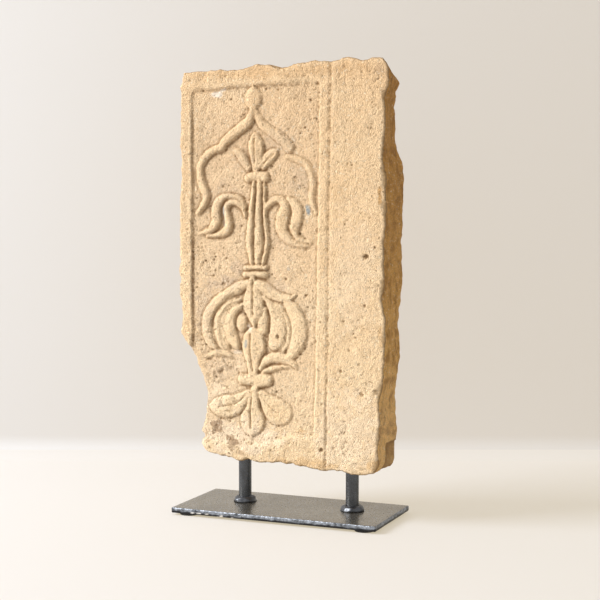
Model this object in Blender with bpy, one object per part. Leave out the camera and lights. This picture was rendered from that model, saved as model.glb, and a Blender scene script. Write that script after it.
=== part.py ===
"""A fragment of a carved sandstone panel, held up by two steel rods on a flat steel base.

The stone's outline and its carving are drawn in millimetres as seen from the front: x from the middle
of the base, z up from the ground. place() turns the drawing into the stone's real size.
"""

import math

import bmesh
import bpy
import numpy as np
from mathutils import Vector, noise
from mathutils.geometry import delaunay_2d_cdt

MM = 0.001
CLEARANCE = 0.3 * MM

# Steel stand
PAD_DIAMETER = 18 * MM
PAD_THICKNESS = 1.7 * MM
PAD_CHAMFER = 0.4 * MM
PAD_FROM_SIDE = 14 * MM
PAD_FROM_FRONT = 10.5 * MM
PLATE_WIDTH = 200 * MM
PLATE_DEPTH = 93 * MM
PLATE_THICKNESS = 5 * MM
PLATE_EDGE_ROUNDING = 0.4 * MM
ROD_DIAMETER = 12 * MM
ROD_SPACING = 107.6 * MM
ROD_PAIR_X = 5 * MM
ROD_PAIR_Y = 5.8 * MM
ROD_IN_STONE = 30 * MM
ROD_SIDES = 32
WELD_DIAMETER = 22 * MM
WELD_HEIGHT = 5 * MM
WELD_SIDES = 24
WELD_LUMPS = 7
WELD_LUMP_HEIGHT = 0.5 * MM

# Stone
STONE_WIDTH = 200 * MM
STONE_HEIGHT = 362 * MM
STONE_THICKNESS = 48 * MM
STONE_LIFT = 43 * MM
ROD_BEHIND_FACE = 23.8 * MM
PANEL_SINK = 3.2 * MM
PANEL_WALL_RUN = 1.2 * MM
MARGIN_GROOVE_WIDTH = 3 * MM
MARGIN_GROOVE_DEPTH = 1.6 * MM
ARRIS_WEAR = 1.3 * MM
SIDE_ROUGHNESS = 1.1 * MM
BACK_ROUGHNESS = 1.5 * MM
REBATE_HEIGHT = 21 * MM
REBATE_WIDTH = 30 * MM
REBATE_DEPTH = 6 * MM
REBATE_SLOPE = 0.2
CORNER_DROP = 21 * MM

# Heights above the ground, from the stand up
PLATE_FOOT = PAD_THICKNESS + CLEARANCE
PLATE_TOP = PLATE_FOOT + PLATE_THICKNESS
STONE_FOOT = PLATE_TOP + STONE_LIFT
STONE_FACE_Y = ROD_PAIR_Y - ROD_BEHIND_FACE

# The drawing's own size, and the steps at which its lines are followed
DRAWN_WIDTH = 200
DRAWN_HEIGHT = 362
DRAWN_FOOT = 50
OUTLINE_STEP = 8
STROKE_STEP = 5.5
NARROW_STROKE = 2.85
WIDE_STROKE = 5.8
SHOULDER = 0.6
FOOT_LINE = 1.08
BACK_STEP = 17
WELD_DISTANCE = 0.9

# Front outline, clockwise from the top left corner
OUTLINE = [
    (-99.5, 406), (-87, 408), (-62, 408), (-55, 407), (-37, 408.5), (-27, 411.5), (-14, 411), (3, 409),
    (12, 410.5), (27, 413), (38, 412), (60, 414.3), (77, 411), (85, 413.5), (92, 413), (97, 408), (98, 400),
    (96.5, 385), (97.5, 360), (96, 335), (96, 320), (97.5, 300), (98.5, 280), (96.5, 250), (96.5, 215),
    (95, 200), (98.5, 188), (96.5, 150), (95.5, 130), (92, 105), (92.5, 90), (91, 72), (91, 53),
    (87, 47), (80, 45.5), (67, 45.5), (61, 46.8), (43, 46.5), (15, 49), (-3, 51), (-33, 50.8),
    (-45, 50.3), (-52, 52), (-64, 52.5), (-74, 55), (-79, 57.5), (-82.5, 64), (-82.5, 77), (-80.5, 91),
    (-78.5, 100), (-78, 110), (-80, 120), (-82, 127), (-87, 136), (-90.5, 145), (-94.5, 153),
    (-99, 159), (-103, 166), (-101, 184), (-104, 205), (-104, 290), (-103, 375), (-103, 392),
    (-101.5, 399),
]

# How far the right side stands out at the back, against the front: (z, millimetres)
RIGHT_SIDE_BULGE = [
    (60, 2.5), (83, 2.5), (94, -0.5), (105, 1), (130, -1.5), (150, 0), (165, -1.2), (178, -3.8),
    (190, -1.5), (200, 3), (250, 1.8), (280, 0.7), (300, 2.2), (323, 3.7), (334, -2), (345, -5.5),
    (366, -6.3), (382, -3.9), (393, -2), (410, -1),
]

# Edge of the sunk panel. At the bottom left its border is broken away
PANEL_EDGE = [
    (-91, 388), (-88, 391), (-50, 393.5), (37, 395), (35.5, 300), (34, 200), (31, 75), (5, 74.5),
    (-4, 69), (-20, 65), (-45, 60), (-66, 66), (-96, 60), (-110, 90), (-105, 135), (-93, 156), (-91.5, 170),
]
MARGIN_GROOVE = [(46.8, 425), (45, 330), (43.5, 200), (41.5, 35)]

# Each carved stroke: its height as a share of the panel's depth, then x, z and half its width
STROKES = {
    "bud": (0.95, [(-28.5, 373, 2.5), (-29.3, 377.5, 7), (-29.5, 382, 8.4), (-29.5, 387, 5.5),
                   (-29.7, 391.5, 1)]),
    "arch left": (1.05, [(-30.5, 371, 3), (-32, 365, 4), (-36.5, 359, 5), (-47.5, 351.2, 5.1),
                         (-58, 343, 4.6), (-61, 338.5, 4.5)]),
    "lobe left": (0.95, [(-60, 337.5, 3.6), (-67, 336, 3.8), (-73.5, 333, 4), (-80.3, 327.5, 4),
                         (-83.3, 320, 3.8), (-83.6, 312, 3.9), (-81.5, 303, 4.2), (-78, 296, 4.2),
                         (-77.5, 291.5, 3.8), (-80.5, 285.5, 3.6), (-86, 278, 2.6)]),
    "arch right": (0.68, [(-27.5, 370, 2.6), (-24.5, 363, 3.6), (-18, 355, 4.3), (-9, 348.8, 4.4),
                         (0, 343.2, 4.6), (6, 336.5, 4.8)]),
    "lobe right": (0.74, [(4, 329, 2), (12, 326.5, 3), (19.5, 323.5, 3.3), (25.5, 317.5, 3.4),
                          (28.3, 309, 3.5), (28.5, 300, 3.7), (27.5, 292.5, 3.6), (29, 285, 3),
                          (32, 278, 2)]),
    "palmette middle": (0.95, [(-29.3, 349.5, 1), (-28, 343, 6), (-27, 336.5, 8), (-26.5, 329, 6.5),
                               (-27, 318, 4)]),
    "palmette left": (0.7, [(-51, 334.5, 1), (-46.5, 331, 3.6), (-40, 324.5, 4.2), (-34.5, 317.5, 3)]),
    "palmette right": (0.95, [(-6, 334, 1.5), (-10.5, 330.5, 4.2), (-16, 325.5, 5),
                              (-21.5, 318.5, 3.2)]),
    "upper collar": (1.1, [(-34.3, 309.8, 4.3), (-26, 310.8, 4.7), (-17.8, 310.2, 4.4)]),
    "stem left": (0.85, [(-30.3, 305, 2), (-31.8, 278, 2.9), (-33.3, 258, 3.4), (-32.8, 233, 3)]),
    "stem middle": (0.9, [(-25, 305, 3.3), (-25.2, 280, 3.4), (-24.6, 258, 5), (-25.5, 233, 4)]),
    "stem right": (0.8, [(-20.3, 305, 1.6), (-19.8, 276, 2), (-17.4, 258, 2.2), (-19.3, 233, 2.2)]),
    "left curl": (0.9, [(-37.5, 283, 1.2), (-43, 290.5, 2), (-51, 293, 2.4), (-60, 291.5, 3.6),
                        (-66, 286, 4.6), (-68, 278, 5), (-68, 270, 5), (-71.5, 263.5, 4.2),
                        (-79, 259.8, 2.6), (-85, 258.8, 1)]),
    "left inner curl": (0.95, [(-37.5, 276, 2), (-41, 283.5, 2.7), (-47.5, 287.5, 3), (-54, 287, 3.4),
                               (-57.5, 281.5, 3.6), (-56, 274, 4), (-55, 267, 4.6), (-58.5, 260.5, 4.2),
                               (-67, 257.2, 2.6), (-77, 256.3, 1.2)]),
    "right inner curl": (0.85, [(-18.5, 274, 1.5), (-16.3, 283, 3), (-10, 288.5, 3.6),
                                (-3.5, 289.5, 3.6), (1.5, 284, 4.8), (0.2, 277, 6.2), (-1.6, 268, 6.3),
                                (0.3, 259.3, 5.5), (7.5, 252.7, 4.1), (16, 249.4, 2.9),
                                (24.5, 248.2, 1.4)]),
    "right curl": (0.95, [(4, 291, 1.5), (10, 287, 4.2), (13.5, 280, 5.6), (13.3, 272, 5.8),
                          (11.6, 264, 4.9), (12.8, 257.5, 3.5), (18, 253.3, 2.5), (27.5, 251.5, 1.8)]),
    "middle collar top": (1.1, [(-37.5, 228.2, 2.6), (-18, 228.2, 2.6)]),
    "middle collar foot": (1.1, [(-37.5, 221.8, 3.3), (-18, 221.8, 3.3)]),
    "fruit left rim": (0.95, [(-34.5, 213.5, 4), (-45.5, 209, 5.6), (-56, 203.2, 5.1),
                              (-65.5, 196.5, 5.2), (-74, 186, 5.8), (-77.2, 176, 5.5), (-77, 167, 5.4),
                              (-74, 158.5, 5), (-69, 153.5, 3)]),
    "fruit left thread": (0.75, [(-43, 198.5, 1.2), (-52, 196, 2.2), (-60, 190.5, 2.8),
                                 (-65.5, 182, 3.3), (-67, 173.5, 3.3), (-66, 165, 3), (-63, 157, 2),
                                 (-61, 153.5, 1)]),
    "fruit left petal": (0.85, [(-42.5, 194.5, 1.5), (-48.5, 190.5, 4), (-54, 184.5, 5.4),
                                (-56.6, 176, 5.8), (-56.8, 168, 5.8), (-55.5, 161, 5), (-53, 156, 3)]),
    "seed left": (0.7, [(-42.5, 173.5, 6.5), (-42, 180.5, 7.2)]),
    "seed right": (0.8, [(-18.5, 191, 1.5), (-19, 184, 3.6), (-20.6, 177, 5.9), (-21, 171.5, 5.4)]),
    "upper leaf": (0.95, [(-31, 218, 5.5), (-31, 210, 8.7), (-30.6, 200, 11), (-30.4, 192, 11.8),
                          (-30, 185, 9.6), (-29.7, 178, 5.2), (-29.4, 172.5, 1)]),
    "lower leaf": (0.9, [(-32, 172, 1.5), (-31, 166, 8), (-30.3, 159, 12), (-29.6, 152, 10),
                         (-29, 145, 5.5), (-29, 132, 4)]),
    "fruit right top": (0.95, [(-23, 214.5, 3), (-16.5, 209.5, 5.8), (-10, 203.7, 6.4),
                               (-4, 200.7, 5.4), (2, 200, 3.4), (7.5, 201.7, 2.8), (12.3, 205, 1.2)]),
    "fruit right rim": (0.95, [(2, 195.5, 3), (8, 189.5, 6.6), (12.8, 182, 8), (14.5, 173.5, 8.3),
                               (13.3, 165, 8), (9, 156.5, 6.6), (4.5, 150, 4.2)]),
    "fruit right thread": (0.7, [(-9, 195.5, 1), (-4, 190, 1.7), (1, 182.5, 2.2), (3.5, 174, 2.4),
                                 (3.1, 165, 2.4), (0.8, 157.5, 2.1), (-3.5, 152.5, 1)]),
    "fruit right petal": (0.85, [(-15, 197, 1.5), (-12.3, 189, 4.4), (-8.6, 181, 6.4), (-7.9, 172, 7.4),
                                 (-8.8, 164.5, 8), (-10, 159.5, 6.4)]),
    "base leaf left": (0.45, [(-78, 144.5, 2), (-71, 148, 3), (-61, 148.5, 3), (-53, 146, 1.5)]),
    "base leaf right": (0.9, [(-24, 134, 1), (-20, 141, 3.8), (-13, 146, 5.4), (-5, 147, 5.6),
                              (2, 145.6, 4.6), (8, 142, 3.4), (13, 136.5, 1.2)]),
    "base roll": (0.75, [(-22.5, 131.5, 1), (-18, 133.8, 2.4), (-12, 135.6, 2.9), (-5, 137.3, 2.4),
                         (2, 138.6, 1.4), (7, 138.6, 0.8)]),
    "lower collar": (1.05, [(-41.2, 125, 5.2), (-31, 124.8, 5.3)]),
    "lower collar knot": (1.15, [(-25, 124.5, 6.8), (-16.5, 125.3, 5.9)]),
    "foot leaf left": (0.85, [(-36, 113.5, 2.8), (-41, 107, 6.2), (-48, 101.5, 9.2), (-56, 99, 10.6),
                              (-64, 98.5, 9), (-71, 98, 4.5)]),
    "foot leaf middle": (0.95, [(-32, 117, 3.3), (-33, 105, 6.3), (-32.5, 96, 8.6), (-32.2, 88, 11.8),
                                (-32, 81, 7.6), (-31.5, 74, 1.2)]),
    "foot leaf right": (0.85, [(-22.5, 113.5, 2.8), (-17, 106.5, 6.8), (-10, 99.5, 11),
                               (-5, 96.5, 12.2), (-1, 95.8, 10.2)]),
}

# Cuts along the leaves' midribs: depth as a share of the panel's depth, half width, then x and z
LEAF_CUTS = [
    (0.35, 1.4, [(-30.5, 347), (-29.3, 330), (-29.3, 317)]),
    (0.3, 1.2, [(-46, 330), (-37, 320)]),
    (0.4, 1.3, [(-11, 331), (-16.5, 327), (-21, 319)]),
    (0.5, 1.5, [(-31, 217), (-31.4, 200), (-31.6, 183)]),
    (0.5, 1.5, [(-34.4, 167), (-33, 153), (-32.4, 137)]),
    (0.35, 1.3, [(-38, 110), (-46, 103.5), (-56, 100.5), (-65, 99.6)]),
    (0.45, 1.5, [(-33, 116), (-34.2, 100), (-34.4, 82)]),
    (0.35, 1.3, [(-24, 112), (-20.3, 104.5), (-13, 100), (-8, 97.5)]),
    (0.25, 1, [(-17, 213), (-11, 206.5), (-5, 202.8), (-1, 202.2)]),
]


def place(x, z):
    """World x and z of a point of the drawing, with the stone at its own width and height."""
    world_x = np.asarray(x) * MM * (STONE_WIDTH / MM / DRAWN_WIDTH)
    world_z = STONE_FOOT + (np.asarray(z) - DRAWN_FOOT) * MM * (STONE_HEIGHT / MM / DRAWN_HEIGHT)
    return world_x, world_z


def drawn(size):
    """A real size on the face, in the drawing's millimetres."""
    return size / STONE_WIDTH * DRAWN_WIDTH


def curve_through(points, step):
    """Points at about one step on the smooth Catmull-Rom curve through the given rows."""
    rows = np.array(points, float)
    padded = np.vstack([2 * rows[0] - rows[1], rows, 2 * rows[-1] - rows[-2]])
    out = []
    for a, b, c, d in zip(padded, padded[1:], padded[2:], padded[3:]):
        count = max(1, round(float(np.linalg.norm((c - b)[:2])) / step))
        t = (np.arange(count) / count)[:, None]
        out.append(b + 0.5 * t * (c - a + t * (2 * a - 5 * b + 4 * c - d + t * (3 * (b - c) + d - a))))
    return np.vstack([*out, rows[-1:]])


def nearest_share(points, line):
    """For each point, its distance to a line of x, z and half width, as a share of that half width."""
    best = np.full(len(points), np.inf)
    for a, b in zip(line, line[1:]):
        along = (b - a)[:2]
        t = np.clip((points - a[:2]) @ along / max(along @ along, 1e-9), 0, 1)[:, None]
        middle = a + t * (b - a)
        share = np.linalg.norm(points - middle[:, :2], axis=1) / np.maximum(middle[:, 2], 0.1)
        best = np.minimum(best, share)
    return best


def inside(points, polygon):
    """True for each point inside a closed polygon, by counting the edges that a ray to the right meets."""
    corners = np.array(polygon, float)
    x, z = points[:, 0], points[:, 1]
    odd = np.zeros(len(points), bool)
    for (x0, z0), (x1, z1) in zip(corners, np.roll(corners, -1, axis=0)):
        if z0 != z1:
            crossing = x0 + (z - z0) / (z1 - z0) * (x1 - x0)
            odd ^= ((z0 > z) != (z1 > z)) & (x < crossing)
    return odd


def face_height(points):
    """How far the carved face stands out of the flat border, in metres, at points of the drawing."""
    edge = np.array([(*p, drawn(PANEL_WALL_RUN)) for p in [*PANEL_EDGE, PANEL_EDGE[0]]])
    sunk = np.clip(nearest_share(points, edge), 0, 1) * inside(points, PANEL_EDGE)
    height = -PANEL_SINK * sunk
    for share, rows in STROKES.values():
        away = nearest_share(points, curve_through(rows, STROKE_STEP))
        roll = np.sqrt(np.clip(1 - away ** 2.6, 0, 1))
        height = np.where(away < 1, np.maximum(height, PANEL_SINK * (share * roll - 1)), height)
    for share, half_width, rows in LEAF_CUTS:
        line = curve_through([(*p, half_width) for p in rows], STROKE_STEP)
        height -= PANEL_SINK * share * np.clip(1 - nearest_share(points, line), 0, 1)
    groove = np.array([(*p, drawn(MARGIN_GROOVE_WIDTH) / 2) for p in MARGIN_GROOVE])
    height -= MARGIN_GROOVE_DEPTH * np.clip(1 - nearest_share(points, groove), 0, 1)
    return height


def side_lines(line, share):
    """A closed line round a stroke, at a share of its half width, with a point past each end."""
    middle, half = line[:, :2], line[:, 2:] * share
    along = np.gradient(middle, axis=0)
    along /= np.linalg.norm(along, axis=1)[:, None]
    across = np.stack([-along[:, 1], along[:, 0]], axis=1)
    start = middle[:1] - along[:1] * half[:1]
    end = middle[-1:] + along[-1:] * half[-1:]
    return np.vstack([start, middle + across * half, end, (middle - across * half)[::-1]])


def shrunk(polygon, distance):
    """A closed clockwise polygon moved inwards by a distance."""
    points = np.array(polygon, float)
    along = np.roll(points, -1, axis=0) - np.roll(points, 1, axis=0)
    along /= np.linalg.norm(along, axis=1)[:, None]
    return points + np.stack([along[:, 1], -along[:, 0]], axis=1) * distance


class Drawing:
    """Points and edges for the triangles of the face. Points that nearly meet become one."""

    def __init__(self):
        self.points = []
        self.edges = []

    def add(self, line, closed):
        """Adds a line's points and edges, and returns the points' numbers."""
        numbers = []
        for point in line:
            near = None
            if self.points:
                away = np.linalg.norm(np.array(self.points) - point, axis=1)
                near = int(away.argmin()) if away.min() < WELD_DISTANCE else None
            if near is None:
                near = len(self.points)
                self.points.append(tuple(float(v) for v in point))
            if not numbers or numbers[-1] != near:
                numbers.append(near)
        ends = numbers[1:] + numbers[:1] if closed else numbers[1:]
        self.edges += [(a, b) for a, b in zip(numbers, ends) if a != b]
        return numbers

    def triangles(self, outline):
        """Points and triangles inside the outline, with every line kept as an edge."""
        made = delaunay_2d_cdt([Vector(p) for p in self.points], self.edges, [outline], 1, 1e-4)
        points = np.array([tuple(p) for p in made[0]])
        triangles = np.array(made[2])
        middles = points[triangles].mean(axis=1)
        return points, triangles[inside(middles, [self.points[k] for k in outline])]


def closed_curve(corners, step):
    """Points at about one step along the straight sides of a closed polygon."""
    out = []
    for a, b in zip(np.array(corners, float), np.roll(np.array(corners, float), -1, axis=0)):
        count = max(1, round(float(np.linalg.norm(b - a)) / step))
        out.append(a + (np.arange(count) / count)[:, None] * (b - a))
    return np.vstack(out)


def draw_face():
    """Triangles of the carved face: the foot, the shoulder and the crest of every stroke are edges."""
    drawing = Drawing()
    border = shrunk(closed_curve(OUTLINE, OUTLINE_STEP), drawn(ARRIS_WEAR))
    outline = drawing.add(border, closed=True)
    for _, rows in STROKES.values():
        line = curve_through(rows, STROKE_STEP)
        widest = line[:, 2].max()
        drawing.add(side_lines(line, FOOT_LINE), closed=True)
        if widest > NARROW_STROKE:
            drawing.add(side_lines(line, SHOULDER), closed=True)
        if widest < NARROW_STROKE or widest > WIDE_STROKE:
            drawing.add(line[:, :2], closed=False)
    for _, half_width, rows in LEAF_CUTS:
        line = curve_through([(*p, half_width) for p in rows], STROKE_STEP)
        drawing.add(side_lines(line, FOOT_LINE), closed=True)
        drawing.add(line[:, :2], closed=False)
    wall = closed_curve(PANEL_EDGE, 40)
    drawing.add(wall, closed=True)
    drawing.add(shrunk(wall, drawn(PANEL_WALL_RUN)), closed=True)
    half = drawn(MARGIN_GROOVE_WIDTH) / 2
    for shift in (-half, 0, half):
        drawing.add([(x + shift, z) for x, z in MARGIN_GROOVE], closed=False)
    return drawing.triangles(outline)


def material(name, color, roughness, metallic=0.0):
    """A plain Principled material."""
    made = bpy.data.materials.new(name)
    made.use_nodes = True
    shader = made.node_tree.nodes["Principled BSDF"]
    shader.inputs["Base Color"].default_value = (*color, 1)
    shader.inputs["Roughness"].default_value = roughness
    shader.inputs["Metallic"].default_value = metallic
    return made


def add_object(name, bm, finish=None, smooth=True):
    """A named object from a bmesh, with its faces pointing out."""
    bmesh.ops.recalc_face_normals(bm, faces=bm.faces)
    mesh = bpy.data.meshes.new(name)
    bm.to_mesh(mesh)
    bm.free()
    if finish:
        mesh.materials.append(finish)
    if smooth:
        mesh.shade_smooth()
        mesh.set_sharp_from_angle(angle=math.radians(35))
    made = bpy.data.objects.new(name, mesh)
    bpy.context.scene.collection.objects.link(made)
    return made


def cutter(name, bm):
    """A shape that only cuts."""
    made = add_object(name, bm, smooth=False)
    made.hide_render = True
    made.display_type = "WIRE"
    return made


def cut(piece, tool):
    """Takes a cutter out of a piece."""
    modifier = piece.modifiers.new(tool.name, "BOOLEAN")
    modifier.operation = "DIFFERENCE"
    modifier.solver = "EXACT"
    modifier.object = tool


def turned(profile, sides, ripple=None):
    """A closed ring or disc about the Z axis from a closed profile of radius and height.

    ripple gives each point's height an extra amount from its angle.
    """
    bm = bmesh.new()
    rings = []
    for radius, height in profile:
        if radius == 0:
            rings.append([bm.verts.new((0, 0, height))] * sides)
            continue
        ring = []
        for k in range(sides):
            angle = math.tau * k / sides
            lift = ripple(angle, height) if ripple else 0
            ring.append(bm.verts.new((radius * math.cos(angle), radius * math.sin(angle), height + lift)))
        rings.append(ring)
    for lower, upper in zip(rings, rings[1:] + rings[:1]):
        for k in range(sides):
            corners = [lower[k - 1], lower[k], upper[k], upper[k - 1]]
            unique = list(dict.fromkeys(corners))
            if len(unique) > 2:
                bm.faces.new(unique)
    return bm


def disc_profile(radius, foot, top, chamfer):
    """Half section of a disc or rod with chamfered rims, from the axis out and back."""
    return [(0, foot), (radius - chamfer, foot), (radius, foot + chamfer), (radius, top - chamfer),
            (radius - chamfer, top), (0, top)]


def rod_places():
    """The x of the left and the right rod."""
    return {"left": ROD_PAIR_X - ROD_SPACING / 2, "right": ROD_PAIR_X + ROD_SPACING / 2}


def make_pads(finish):
    """Four round pads, near the corners of the plate."""
    x = PLATE_WIDTH / 2 - PAD_FROM_SIDE
    y = PLATE_DEPTH / 2 - PAD_FROM_FRONT
    corners = {"front_left": (-x, -y), "front_right": (x, -y), "back_left": (-x, y), "back_right": (x, y)}
    profile = disc_profile(PAD_DIAMETER / 2, 0, PAD_THICKNESS, PAD_CHAMFER)
    for name, corner in corners.items():
        pad = add_object("foot_pad_" + name, turned(profile, WELD_SIDES), finish)
        pad.location = (*corner, 0)


def make_plate(finish):
    """The flat base plate, with its edges just taken off."""
    bm = bmesh.new()
    bmesh.ops.create_cube(bm, size=1)
    bmesh.ops.scale(bm, vec=(PLATE_WIDTH, PLATE_DEPTH, PLATE_THICKNESS), verts=bm.verts)
    plate = add_object("base_plate", bm, finish, smooth=False)
    plate.location = (0, 0, PLATE_FOOT + PLATE_THICKNESS / 2)
    rounding = plate.modifiers.new("edge rounding", "BEVEL")
    rounding.width = PLATE_EDGE_ROUNDING
    rounding.segments = 2


def make_rods(finish):
    """Two round rods that stand on the plate and go up into the stone."""
    foot = PLATE_TOP + CLEARANCE
    profile = disc_profile(ROD_DIAMETER / 2, foot, STONE_FOOT + ROD_IN_STONE, CLEARANCE)
    for name, x in rod_places().items():
        rod = add_object("rod_" + name, turned(profile, ROD_SIDES), finish)
        rod.location = (x, ROD_PAIR_Y, 0)


def make_welds(finish):
    """A lumpy bead of weld round the foot of each rod."""
    inner = ROD_DIAMETER / 2 + CLEARANCE
    outer = WELD_DIAMETER / 2
    foot = PLATE_TOP + CLEARANCE
    swell = [(math.sin(a), math.cos(a)) for a in np.linspace(math.pi / 2, 0, 5)]
    profile = [(inner, foot)]
    profile += [(inner + (outer - inner) * s, foot + WELD_HEIGHT * (0.12 + 0.88 * c)) for s, c in swell]
    profile.insert(1, (outer, foot))

    def lump(angle, height):
        return WELD_LUMP_HEIGHT * math.sin(WELD_LUMPS * angle) * (height > foot + WELD_HEIGHT * 0.3)

    for name, x in rod_places().items():
        weld = add_object("weld_" + name, turned(profile, WELD_SIDES, lump), finish)
        weld.location = (x, ROD_PAIR_Y, 0)


def boundary_loop(bm):
    """The open rim of a sheet as vertices in order."""
    rim = {}
    for edge in bm.edges:
        if edge.is_boundary:
            for vert in edge.verts:
                rim.setdefault(vert, []).append(edge.other_vert(vert))
    start = min(rim, key=lambda v: (v.co.x, v.co.z))
    loop = [start, rim[start][0]]
    while len(loop) < len(rim):
        before, here = loop[-2], loop[-1]
        loop.append(next(v for v in rim[here] if v is not before))
    return loop


def rough(x, y, z, size):
    """Smooth unevenness between about -1 and 1, with lumps of a given size in metres."""
    return noise.noise(Vector((x, y, z)) / size)


def eased(value, low, high):
    """0 below the first limit and 1 above the second, with a smooth rise between them."""
    t = np.clip((value - low) / (high - low), 0, 1)
    return t * t * (3 - 2 * t)


def side_rings(bm, rim):
    """Rings of vertices from the face's rim back to the back's rim, with the sides rough."""
    flat = np.array([(v.co.x, v.co.z) for v in rim])
    along = np.roll(flat, -1, axis=0) - np.roll(flat, 1, axis=0)
    along /= np.linalg.norm(along, axis=1)[:, None]
    outward = np.stack([along[:, 1], -along[:, 0]], axis=1)
    area = np.sum(flat[:, 0] * np.roll(flat[:, 1], -1) - flat[:, 1] * np.roll(flat[:, 0], -1))
    outward *= math.copysign(1, area)
    heights, bulges = zip(*RIGHT_SIDE_BULGE)
    corner_x, corner_z = place([66, 95], [355, 412])
    lost = eased(flat[:, 0], *corner_x) * eased(flat[:, 1], *corner_z)
    back = STONE_FACE_Y + STONE_THICKNESS
    depths = [0.035, 0.2, 0.42, 0.64, 0.84, 0.965, 1]
    insets = [0, 0, 0, 0, 0, 0, 1]
    rings = [rim]
    for depth, inset in zip(depths, insets):
        ring = []
        level = flat[:, 1] - CORNER_DROP * depth ** 0.8 * lost
        bulge = np.interp(level, place(0, heights)[1], np.array(bulges) * MM)
        bulge *= np.clip(outward[:, 0], 0, 1) ** 0.5
        for k, vert in enumerate(rim):
            y = vert.co.y + (back - vert.co.y) * depth
            swell = ARRIS_WEAR * (1 - inset) - ARRIS_WEAR * 0.5 * inset
            if 0.1 < depth < 0.9:
                swell += SIDE_ROUGHNESS * rough(flat[k, 0], y, flat[k, 1], 0.022)
            x = flat[k, 0] + outward[k, 0] * swell + bulge[k] * depth ** 0.9
            z = level[k] + outward[k, 1] * swell
            ring.append(bm.verts.new((x, y, z)))
        rings.append(ring)
    return rings


def close_back(bm, rim):
    """Triangles over the back, which is only roughly flat."""
    ring = np.array([(v.co.x, v.co.z) for v in rim])
    low, high = ring.min(axis=0), ring.max(axis=0)
    step = BACK_STEP * MM
    grid = np.array([(x, z) for x in np.arange(low[0] + step, high[0], step)
                     for z in np.arange(low[1] + step, high[1], step)])
    away = np.array([np.linalg.norm(ring - p, axis=1).min() for p in grid])
    grid = grid[inside(grid, ring) & (away > step * 0.55)]
    points = np.vstack([ring, grid])
    edges = [(k, (k + 1) % len(ring)) for k in range(len(ring))]
    made = delaunay_2d_cdt([Vector(p) for p in points], edges, [list(range(len(ring)))], 1, 1e-7)
    back = STONE_FACE_Y + STONE_THICKNESS
    verts = list(rim)
    for x, z in grid:
        verts.append(bm.verts.new((x, back + BACK_ROUGHNESS * rough(x, 0, z, 0.045), z)))
    for triangle in made[2]:
        bm.faces.new([verts[made[3][k][0]] for k in triangle])


def make_stone(finish):
    """The carved slab: its face, rough sides and back, the rods' sockets and the rebate in one side."""
    points, triangles = draw_face()
    x, z = place(points[:, 0], points[:, 1])
    y = STONE_FACE_Y - face_height(points)
    bm = bmesh.new()
    verts = [bm.verts.new(p) for p in zip(x, y, z)]
    for triangle in triangles:
        bm.faces.new([verts[k] for k in triangle])
    loose = [v for v in bm.verts if not v.link_faces]
    bmesh.ops.delete(bm, geom=loose, context="VERTS")
    rings = side_rings(bm, boundary_loop(bm))
    for near, far in zip(rings, rings[1:]):
        for k in range(len(near)):
            bm.faces.new([near[k - 1], near[k], far[k], far[k - 1]])
    close_back(bm, rings[-1])
    bmesh.ops.triangulate(bm, faces=bm.faces)
    stone = add_object("carved_stone", bm, finish)
    stone.data.set_sharp_from_angle(angle=math.radians(60))
    for name, rod_x in rod_places().items():
        top = STONE_FOOT + ROD_IN_STONE + CLEARANCE
        profile = disc_profile(ROD_DIAMETER / 2 + CLEARANCE, PLATE_TOP, top, CLEARANCE)
        socket = cutter("socket_" + name, turned(profile, ROD_SIDES))
        socket.location = (rod_x, ROD_PAIR_Y, 0)
        cut(stone, socket)
    cut(stone, rebate())


def rebate():
    """The block that is missing from the back of the right side, at the foot, cut deeper at its front."""
    edge_x = float(place(91, 0)[0]) - REBATE_DEPTH
    top = STONE_FOOT + REBATE_HEIGHT
    front = STONE_FACE_Y + STONE_THICKNESS - REBATE_WIDTH
    wide, deep, tall = STONE_WIDTH / 4, REBATE_WIDTH * 2, STONE_LIFT + REBATE_HEIGHT
    bm = bmesh.new()
    bmesh.ops.create_cube(bm, size=1)
    bmesh.ops.scale(bm, vec=(wide, deep, tall), verts=bm.verts)
    for vert in bm.verts:
        if vert.co.x < 0 < vert.co.y:
            vert.co.x += REBATE_SLOPE * deep
    middle = (edge_x + wide / 2, front + deep / 2, top - tall / 2)
    bmesh.ops.translate(bm, vec=middle, verts=bm.verts)
    return cutter("rebate", bm)


def main():
    for old in list(bpy.data.objects):
        bpy.data.objects.remove(old, do_unlink=True)
    sandstone = material("sandstone", (0.60, 0.43, 0.25), 0.92)
    steel = material("blackened_steel", (0.055, 0.06, 0.068), 0.38, 0.9)
    weld = material("weld_metal", (0.05, 0.053, 0.058), 0.3, 0.9)
    rubber = material("pad_rubber", (0.02, 0.02, 0.022), 0.7)
    make_pads(rubber)
    make_plate(steel)
    make_rods(steel)
    make_welds(weld)
    make_stone(sandstone)


main()
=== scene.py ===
# %% [markdown]
# A carved sandstone panel on a steel stand.
#
# The object is a broken slab from a building: a sunk panel with a cusped arch and a flowering plant,
# cut in low relief, and a plain margin on its right. A small steel stand holds it up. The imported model
# gives the places and sizes of all its pieces. This script gives them their surface.

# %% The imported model, and the numbers that every later cell uses
import math

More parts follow.
